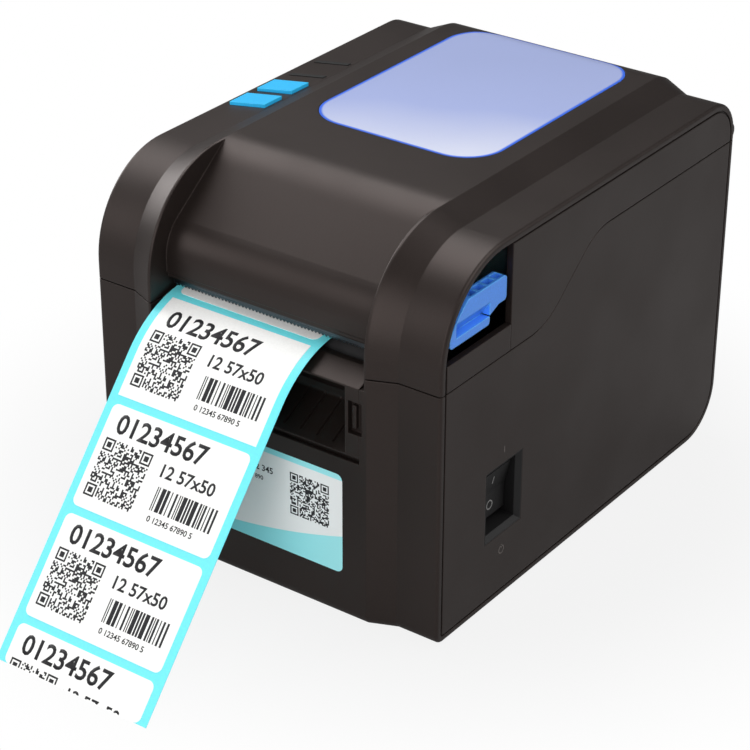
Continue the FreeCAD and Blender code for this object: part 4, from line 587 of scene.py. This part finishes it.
class PRINTER_OT_switch(bpy.types.Operator):
    """Finish the power switch and print the plain on and off marks beside it"""
    bl_idname = "printer.switch"
    bl_label = "Switch"

    def ring(self, centre, radius, width, gap):
        """A flat ring on the right side, open at its top where a gap is asked for."""
        begin()
        bpy.ops.mesh.primitive_circle_add(vertices=48, radius=radius, fill_type="NOTHING", location=centre,
                                          rotation=TO_RIGHT)
        piece = bpy.context.object
        bpy.ops.object.mode_set(mode="EDIT")
        bpy.ops.mesh.select_all(action="SELECT")
        bpy.ops.mesh.extrude_edges_move()
        scale = (radius - width) / radius
        bpy.ops.transform.resize(value=(1, scale, scale), center_override=centre)
        if gap:
            pick_faces(piece, lambda middle: middle.y > radius * math.cos(gap))
            bpy.ops.mesh.delete(type="FACE")
        thicken((INK * MM, 0, 0))
        return piece

    def bar(self, centre, tall, wide):
        """A flat bar on the right side with rounded ends."""
        piece = rounded(wide, tall, wide * BAR_ROUND, BAR_STEPS, centre, TO_RIGHT)
        thicken((INK * MM, 0, 0))
        return piece

    def execute(self, context):
        looks = context.scene.printer_case
        # Nylon, moulded with a fine texture: dense black and almost matt.
        dress(moulded("nylon_black", linear("#0c0b0c"), looks.grain / 2, edge=0.3 * MM, rough=0.55, bump=0.08,
                      contrast=0.15), "switch_well", "power_rocker")
        # Pad-printed grey ink, flat.
        ink = moulded("pad_print_grey", linear("#5d5754"), grain=0.3 * MM, edge=0.02 * MM, rough=0.6,
                      bump=0.1)
        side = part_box("lower_housing")[1].x
        on = self.bar(Vector((side, *case_point(0, ON_BACK, ON_UP).yz)), ON_TALL * MM, ON_STROKE * MM)
        settle(on, "switch_mark_on", ink, "base")
        off = case_point(0, POWER_BACK, POWER_UP)
        off.x = side
        loop = self.ring(off, POWER_RADIUS * MM, POWER_STROKE * MM, POWER_GAP)
        stem = self.bar(off + Vector((0, 0, STEM_RISE * MM)), STEM_TALL * MM, POWER_STROKE * MM)
        settle(join([loop, stem]), "switch_mark_power", ink, "base")
        # Pad-printed white ink, satin: a ring on the rocker's upright half and a bar on its leaning half.
        white = moulded("pad_print_white", linear("#8a8988"), grain=0.3 * MM, edge=0.02 * MM, rough=0.5,
                        bump=0.05)
        low = self.ring(case_point(ROCKER_FACE, ROCKER_BACK, ROCKER_UP - RING_DROP),
                        RING_RADIUS * MM, RING_STROKE * MM, 0)
        settle(low, "rocker_mark_ring", white, "rocker")
        face = ROCKER_FACE + BAR_RISE * math.tan(ROCKER_LEAN)
        up = self.bar(case_point(face, ROCKER_BACK, ROCKER_UP + BAR_RISE), BAR_TALL * MM, BAR_STROKE * MM)
        up.rotation_euler.y = ROCKER_LEAN
        settle(up, "rocker_mark_bar", white, "rocker")
        return {"FINISHED"}


class PRINTER_OT_sticker(bpy.types.Operator):
    """Lay a plain white sticker with a coloured border and band on the front"""
    bl_idname = "printer.sticker"
    bl_label = "Sticker"

    def execute(self, context):
        looks = context.scene.printer_labels
        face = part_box("front_panel")[0].y
        low, high = case_point(0, 0, STICKER_LOW).z, case_point(0, 0, STICKER_HIGH).z
        half = STICKER_HALF * MM
        sheet = rounded(2 * half, high - low, STICKER_CORNER * MM, CORNER_STEPS,
                        (0, face - STICKER_LIFT * MM, (low + high) / 2), TO_FRONT)
        thicken((0, STICKER_THICK * MM, 0))
        # Vinyl film, printed and laminated: white, with a pale border along its top and a curved band below.
        material, tree, place = blank("vinyl_printed")
        parts = node(tree, "SeparateXYZ", {"Vector": place})
        run = node(tree, "MapRange", {"Value": parts.outputs["X"], "From Min": -half, "From Max": half})
        curve = node(tree, "Math", {0: run.outputs["Result"], 1: run.outputs["Result"]}, operation="MULTIPLY")
        band = node(tree, "Math", {0: curve.outputs[0], 1: BAND_RISE * MM, 2: low + BAND_LOW * MM},
                    operation="MULTIPLY_ADD")
        under = node(tree, "Math", {0: band.outputs[0], 1: parts.outputs["Z"]}, operation="SUBTRACT")
        over = node(tree, "Math", {0: parts.outputs["Z"], 1: high - BORDER * MM}, operation="SUBTRACT")
        shown = node(tree, "Math", {0: under.outputs[0], 1: over.outputs[0]}, operation="MAXIMUM")
        mask = node(tree, "MapRange", {"Value": shown.outputs[0], "From Min": -BAND_EDGE * MM,
                                       "From Max": BAND_EDGE * MM})
        fade = node(tree, "Mix", {"Factor": run.outputs["Result"], "A": looks.band, "B": looks.band_pale},
                    data_type="RGBA")
        tone = node(tree, "Mix", {"Factor": mask.outputs["Result"], "A": looks.film,
                                  "B": fade.outputs["Result"]}, data_type="RGBA")
        grain = node(tree, "TexNoise", {"Vector": place, "Scale": 1 / (0.8 * MM), "Detail": 2})
        gloss = node(tree, "MapRange", {"Value": grain.outputs["Fac"], "To Min": 0.28, "To Max": 0.36})
        skin = node(tree, "BsdfPrincipled", {"Base Color": tone.outputs["Result"], "Coat Weight": 0.2,
                                             "Roughness": gloss.outputs["Result"]})
        node(tree, "OutputMaterial", {"Surface": skin.outputs[0]})
        settle(sheet, "front_sticker", material, "base")

        lines = [numbers(*line) for line in STICKER_LINES]
        pattern = cells(BLOCK_COUNT, BLOCK_COUNT, STICKER_BLOCKS, STICKER_BLOCKS, STICKER_BLOCKS_LEFT,
                        STICKER_BLOCKS_LOW, blocks(random.Random(STICKER_SEED)))
        # Black ink, almost matt, as on the labels.
        ink = paper("thermal_print", looks.ink, rough=0.55, sheen=0.0)
        front = face - (STICKER_LIFT + INK) * MM
        printed(join([*lines, pattern]), "front_sticker_print", ink,
                lambda across, up: Vector((across * MM, front, (up + FOOT) * MM)))
        return {"FINISHED"}


class PRINTER_OT_labels(bpy.types.Operator):
    """Finish the strip, print plain numbers, bars and blocks on its labels, and lay blank ones behind them"""
    bl_idname = "printer.labels"
    bl_label = "Labels"

    def execute(self, context):
        looks = context.scene.printer_labels
        # Glassine release paper, calendered: smooth and slightly glossy cyan.
        dress(paper("glassine_cyan", looks.liner, rough=0.4, sheen=0.1), "label_web")
        # Coated thermal paper: clean white, almost without texture.
        face = paper("paper_thermal", looks.paper, rough=0.5, sheen=0.05)
        dress(face, "labels")
        # The same coating where heat has turned it: black, almost matt.
        ink = paper("thermal_print", looks.ink, rough=0.55, sheen=0.0)
        chance = random.Random(LABEL_SEED)
        dark = blocks(chance)
        stripes = [chance.random() < BAR_SHARE for column in range(BAR_COUNT)]
        stripes[0] = stripes[-1] = True
        side, bars = BLOCK_COUNT * looks.cell / MM, BAR_COUNT * looks.bar / MM
        plate = join([
            *[numbers(*line) for line in LABEL_LINES],
            cells(BLOCK_COUNT, BLOCK_COUNT, side, side, BLOCKS_LEFT, BLOCKS_LOW, dark),
            cells(BAR_COUNT, 1, bars, BARS_TALL, BARS_LEFT, BARS_LOW, lambda column, row: stripes[column]),
        ])
        sliced(plate)
        for index in range(PRINTED_LABELS):
            top = -(FIRST_GAP + LABEL_GAP / 2) - (index - 1) * LABEL_PITCH
            piece = copied(plate)
            # The print ends with the strip.
            bottom = LABEL_LONG - top - STRIP_END
            if bottom > 0:
                bpy.ops.object.mode_set(mode="EDIT")
                bpy.ops.mesh.select_all(action="SELECT")
                bpy.ops.mesh.bisect(plane_co=(0, bottom, 0), plane_no=(0, 1, 0), clear_inner=True)
                bpy.ops.object.mode_set(mode="OBJECT")
            printed(piece, f"label_print_{index + 1}", ink, lambda across, up: strip_point(
                STRIP_MIDDLE + across, top - LABEL_LONG + up, LABEL_THICK + INK))
        bpy.data.objects.remove(plate)

        # Blank labels lead on from the bend to the roll.
        flat = rounded(LABEL_WIDE, LABEL_LONG, LABEL_CORNER, CORNER_STEPS, (0, LABEL_LONG / 2, 0))
        take(flat)
        bpy.ops.object.transform_apply(location=True, rotation=False, scale=False)
        sliced(flat)
        for index in range(BLANK_LABELS):
            # The uppermost printed label runs on by one corner's length under the tear bar.
            start = LABEL_CORNER + LABEL_GAP / 2 - FIRST_GAP + (index + 1) * LABEL_PITCH
            printed(copied(flat), f"blank_label_{index + 1}", face, lambda across, up: strip_point(
                STRIP_MIDDLE + across, start + up, LABEL_THICK), LABEL_THICK - INK / 2)
        bpy.data.objects.remove(flat)
        return {"FINISHED"}


class PRINTER_OT_roll(bpy.types.Operator):
    """Finish the label roll, its core and the rail of its holders"""
    bl_idname = "printer.roll"
    bl_label = "Roll"

    def execute(self, context):
        looks = context.scene.printer_labels
        low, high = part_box("label_roll")
        middle = (low + high) / 2
        outer = (high.z - low.z) / 2
        # Coated paper, wound with its liner: labels and gaps outside, white and cyan rings on the ends.
        # The rings are about 0.2 mm apart in reality, and are drawn four times as coarse, so that they show.
        material, tree, place = blank("paper_wound")
        flat = node(tree, "VectorMath", {0: place, 1: (0, middle.y, middle.z)}, operation="SUBTRACT")
        flat = node(tree, "VectorMath", {0: flat.outputs[0], 1: (0, 1, 1)}, operation="MULTIPLY")
        radius = node(tree, "VectorMath", {0: flat.outputs[0]}, operation="LENGTH")
        wave = node(tree, "Math", {0: radius.outputs["Value"], 1: 2 * math.pi / (ROLL_RING * MM)},
                    operation="MULTIPLY")
        wave = node(tree, "Math", {0: wave.outputs[0]}, operation="SINE")
        rings = node(tree, "ValToRGB", {"Fac": wave.outputs[0]},
                     ((0.0, scaled(looks.liner, 0.8)), (0.6, looks.paper)))
        spot = node(tree, "SeparateXYZ", {"Vector": flat.outputs[0]})
        angle = node(tree, "Math", {0: spot.outputs["Z"], 1: spot.outputs["Y"]}, operation="ARCTAN2")
        run = node(tree, "Math", {0: angle.outputs[0], 1: outer / (LABEL_PITCH * MM)}, operation="MULTIPLY")
        run = node(tree, "Math", {0: run.outputs[0]}, operation="FRACT")
        on_run = node(tree, "Math", {0: run.outputs[0], 1: 0.5, 2: LABEL_LONG / LABEL_PITCH / 2},
                      operation="COMPARE")
        side = node(tree, "SeparateXYZ", {"Vector": place})
        on_side = node(tree, "Math", {0: side.outputs["X"], 1: STRIP_MIDDLE * MM, 2: LABEL_WIDE / 2 * MM},
                       operation="COMPARE")
        label = node(tree, "Math", {0: on_run.outputs[0], 1: on_side.outputs[0]}, operation="MULTIPLY")
        wrap = node(tree, "Mix", {"Factor": label.outputs[0], "A": looks.liner, "B": looks.paper},
                    data_type="RGBA")
        outside = node(tree, "Math", {0: radius.outputs["Value"], 1: outer - ROLL_SKIN * MM},
                       operation="GREATER_THAN")
        tone = node(tree, "Mix", {"Factor": outside.outputs[0], "A": rings.outputs["Color"],
                                  "B": wrap.outputs["Result"]}, data_type="RGBA")
        fibre = node(tree, "TexNoise", {"Vector": place, "Scale": 1 / (1.2 * MM), "Detail": 3})
        relief = node(tree, "Bump", {"Height": wave.outputs[0], "Strength": 0.2, "Distance": 0.05 * MM})
        gloss = node(tree, "MapRange", {"Value": fibre.outputs["Fac"], "To Min": 0.5, "To Max": 0.65})
        skin = node(tree, "BsdfPrincipled", {
            "Base Color": tone.outputs["Result"], "Roughness": gloss.outputs["Result"],
            "Normal": relief.outputs["Normal"]})
        node(tree, "OutputMaterial", {"Surface": skin.outputs[0]})
        dress(material, "label_roll")
        # Spiral-wound board: dull brown with coarse fibres.
        dress(paper("board_wound", looks.card, rough=0.8, sheen=0.1), "roll_core")
        # Acetal, moulded: waxy mid grey.
        dress(moulded("acetal_grey", linear("#8d9096"), grain=0.6 * MM, edge=0.3 * MM, rough=0.4, bump=0.1),
              "holder_rail")
        return {"FINISHED"}


class PRINTER_OT_feed(bpy.types.Operator):
    """Finish the feed, the print head, the tear bar, the fasteners and the feet"""
    bl_idname = "printer.feed"
    bl_label = "Feed"

    def execute(self, context):
        # Zinc-plated sheet steel, with the mill's rolling lines.
        dress(metal("steel_plated", linear("#b9bcc0"), rough=0.34, run=ALONG_X, spacing=0.5, depth=0.1),
              "feed_frame", "head_bracket", "head_spring")
        # Spring steel strip, blued: dark, with grinding lines along its length.
        dress(metal("steel_blued", linear("#626469"), rough=0.28, run=ALONG_X, spacing=0.4, depth=0.1),
              "tear_bar", "latch_shaft")
        # Turned bright steel, with fine lines.
        dress(metal("steel_turned", linear("#c4c6c9"), rough=0.25, run=ALONG_Y, spacing=0.3, depth=0.1),
              "head_pin", "platen_shaft", "idler_post", "hinge_pins", "base_screws", "bracket_screws")
        # Deep-drawn steel can, blackened: dark grey with a dull gleam.
        dress(metal("steel_drawn_dark", linear("#3a3b3f"), rough=0.4, run=ALONG_X, spacing=0.5, depth=0.1),
              "feed_motor")
        # Extruded aluminium: pale, with lines from the die along its fins.
        dress(metal("aluminium_extruded", linear("#d6d7da"), rough=0.36, run=ALONG_X, spacing=0.4,
                    depth=0.15), "heat_sink")
        # Alumina, glazed: smooth, glossy ivory.
        dress(moulded("alumina_glazed", linear("#e8e3d4"), grain=0.5 * MM, edge=0.1 * MM, rough=0.18,
                      bump=0.03, contrast=0.04, coat=0.4), "head_plate")
        # Acetal, moulded: waxy ivory.
        dress(moulded("acetal_ivory", linear("#e9e5d6"), grain=0.6 * MM, edge=0.15 * MM, rough=0.34,
                      bump=0.06, contrast=0.05, coat=0.1),
              "platen_gear", "idler_gear", "motor_pinion", "platen_bushes")
        # Silicone and neoprene rubber, ground: matt black with a fine nap.
        dress(moulded("rubber_ground", linear("#232223"), grain=0.35 * MM, edge=0.3 * MM, rough=0.8,
                      bump=0.4), "platen_roller", "rubber_feet")
        return {"FINISHED"}


class PRINTER_OT_boards(bpy.types.Operator):
    """Finish the circuit boards and the sockets"""
    bl_idname = "printer.boards"
    bl_label = "Boards"

    def execute(self, context):
        # Glass-epoxy board under solder mask: glossy green over faint copper tracks at 1.27 mm.
        material, tree, place = blank("epoxy_board_green")
        lay = node(tree, "Mapping", {"Vector": place, "Scale": (1 / (1.27 * MM),) * 3})
        tracks = node(tree, "TexBrick", {
            "Vector": lay.outputs["Vector"], "Scale": 1.0, "Mortar Size": 0.16, "Brick Width": 6.0,
            "Row Height": 1.0, "Color1": linear("#14633a"), "Color2": linear("#0f5230"),
            "Mortar": linear("#2f8a55")})
        skin = node(tree, "BsdfPrincipled", {
            "Base Color": tracks.outputs["Color"], "Roughness": 0.25, "Coat Weight": 0.4})
        node(tree, "OutputMaterial", {"Surface": skin.outputs[0]})
        dress(material, "main_board", "key_board")
        # Nickel-plated sheet steel: warm and bright.
        dress(metal("steel_nickelled", linear("#c9c7c0"), rough=0.3, run=ALONG_X, spacing=0.4, depth=0.1),
              "data_socket")
        # Polyester, moulded: black with a slight gloss.
        dress(moulded("polyester_black", linear("#171618"), grain=0.5 * MM, edge=0.2 * MM, rough=0.35,
                      bump=0.1), "power_socket")
        return {"FINISHED"}


class PRINTER_OT_stage(bpy.types.Operator):
    """Set the pale floor, the soft lamps and the camera"""
    bl_idname = "printer.stage"
    bl_label = "Stage"

    def in_sight(self, tree):
        """The light path, and a mask of the rays that come from the camera or through clear pieces."""
        rays = node(tree, "LightPath")
        mask = node(tree, "Math", {0: rays.outputs["Is Camera Ray"], 1: rays.outputs["Is Transmission Ray"]},
                    operation="MAXIMUM")
        return rays, mask

    def lamp(self, name, place, aim, size, watts, mirrored):
        """A soft lamp that faces a point, with or without an image of itself in glossy faces."""
        bpy.ops.object.light_add(type="AREA", location=place)
        lamp = bpy.context.object
        lamp.name = name
        lamp.data.shape = "RECTANGLE"
        lamp.data.size, lamp.data.size_y = size
        lamp.data.energy = watts
        lamp.visible_glossy = mirrored
        lamp.rotation_euler = (Vector(aim) - Vector(place)).to_track_quat("-Z", "Y").to_euler()

    def execute(self, context):
        looks = context.scene.printer_stage
        begin()
        bpy.ops.mesh.primitive_plane_add(size=FLOOR_SIZE, location=(0, 0, 0))
        floor = bpy.context.object
        floor.name = "floor"
        material, tree, place = blank("studio_floor")
        rays, seen = self.in_sight(tree)
        gleam = node(tree, "Math", {0: rays.outputs["Is Glossy Ray"], 1: FLOOR_GLEAM}, operation="MULTIPLY")
        seen = node(tree, "Math", {0: seen.outputs[0], 1: gleam.outputs[0]}, operation="MAXIMUM")
        away = node(tree, "VectorMath", {0: place}, operation="LENGTH")
        # Near the case less of the floor glows: painted shade, with more of its lit colour and real shadow.
        white = node(tree, "MapRange", {
            "Value": away.outputs["Value"], "From Min": FLOOR_NEAR, "From Max": FLOOR_FAR,
            "To Min": FLOOR_PAINTED_SHADE, "To Max": 1.0}, interpolation_type="SMOOTHSTEP")
        share = node(tree, "Math", {0: seen.outputs[0], 1: white.outputs["Result"]}, operation="MULTIPLY")
        matt = node(tree, "BsdfDiffuse", {"Color": looks.floor})
        glow = node(tree, "Emission", {"Color": (1, 1, 1, 1), "Strength": 1.0})
        mix = node(tree, "MixShader", {0: share.outputs[0], 1: matt.outputs[0], 2: glow.outputs[0]})
        node(tree, "OutputMaterial", {"Surface": mix.outputs[0]})
        floor.data.materials.append(material)

        world = bpy.data.worlds.new("studio")
        context.scene.world = world
        world.use_nodes = True
        tree = world.node_tree
        tree.nodes.clear()
        rays, seen = self.in_sight(tree)
        level = node(tree, "MapRange", {"Value": seen.outputs[0], "To Min": SKY_LIGHT, "To Max": 1.0})
        sky = node(tree, "Background", {"Color": (1, 1, 1, 1), "Strength": level.outputs["Result"]})
        node(tree, "OutputWorld", {"Surface": sky.outputs[0]})

        for name, (place, aim, size, mirrored) in LAMPS.items():
            self.lamp(name, place, aim, size, getattr(looks, f"{name}_power"), mirrored)

        level = math.cos(CAMERA_TILT)
        back = Vector((math.sin(CAMERA_TURN) * level, -math.cos(CAMERA_TURN) * level, math.sin(CAMERA_TILT)))
        right = Vector((math.cos(CAMERA_TURN), math.sin(CAMERA_TURN), 0))
        right = right * math.cos(CAMERA_ROLL) + back.cross(right) * math.sin(CAMERA_ROLL)
        up = back.cross(right)
        bpy.ops.object.camera_add()
        camera = bpy.context.object
        camera.data.lens = looks.lens
        axes = Matrix((right, up, back)).transposed().to_4x4()
        camera.matrix_world = Matrix.Translation(case_point(*CAMERA_PLACE)) @ axes
        camera.data.dof.use_dof = False
        context.scene.camera = camera
        context.scene.view_settings.view_transform = "Standard"
        return {"FINISHED"}


OPERATORS = (
    PRINTER_OT_case, PRINTER_OT_window, PRINTER_OT_keys, PRINTER_OT_levers, PRINTER_OT_switch,
    PRINTER_OT_sticker, PRINTER_OT_labels, PRINTER_OT_roll, PRINTER_OT_feed, PRINTER_OT_boards,
    PRINTER_OT_stage,
)
GROUPS = {"printer_case": CaseLooks, "printer_labels": LabelLooks, "printer_stage": StageLooks}


class PRINTER_PT_looks(bpy.types.Panel):
    """Lists the steps that dress the printer"""
    bl_idname = "PRINTER_PT_looks"
    bl_label = "Label printer"
    bl_space_type = "VIEW_3D"
    bl_region_type = "UI"
    bl_category = "Printer"

    def draw(self, context):
        for operator in OPERATORS:
            self.layout.operator(operator.bl_idname)
        for group in GROUPS:
            values = getattr(context.scene, group)
            for name in values.__annotations__:
                self.layout.prop(values, name)


def register():
    """Register the classes and put their values on the scene."""
    for thing in (*GROUPS.values(), *OPERATORS, PRINTER_PT_looks):
        bpy.utils.register_class(thing)
    for name, group in GROUPS.items():
        setattr(bpy.types.Scene, name, bpy.props.PointerProperty(type=group))


def unregister():
    """Take everything off again."""
    for name in GROUPS:
        delattr(bpy.types.Scene, name)
    for thing in (PRINTER_PT_looks, *reversed(OPERATORS), *GROUPS.values()):
        bpy.utils.unregister_class(thing)


def main():
    """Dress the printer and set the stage."""
    register()
    bpy.ops.printer.case()
    bpy.ops.printer.window()
    bpy.ops.printer.keys()
    bpy.ops.printer.levers()
    bpy.ops.printer.switch()
    bpy.ops.printer.sticker()
    bpy.ops.printer.labels()
    bpy.ops.printer.roll()
    bpy.ops.printer.feed()
    bpy.ops.printer.boards()
    bpy.ops.printer.stage()


if __name__ == "__main__":
    main()
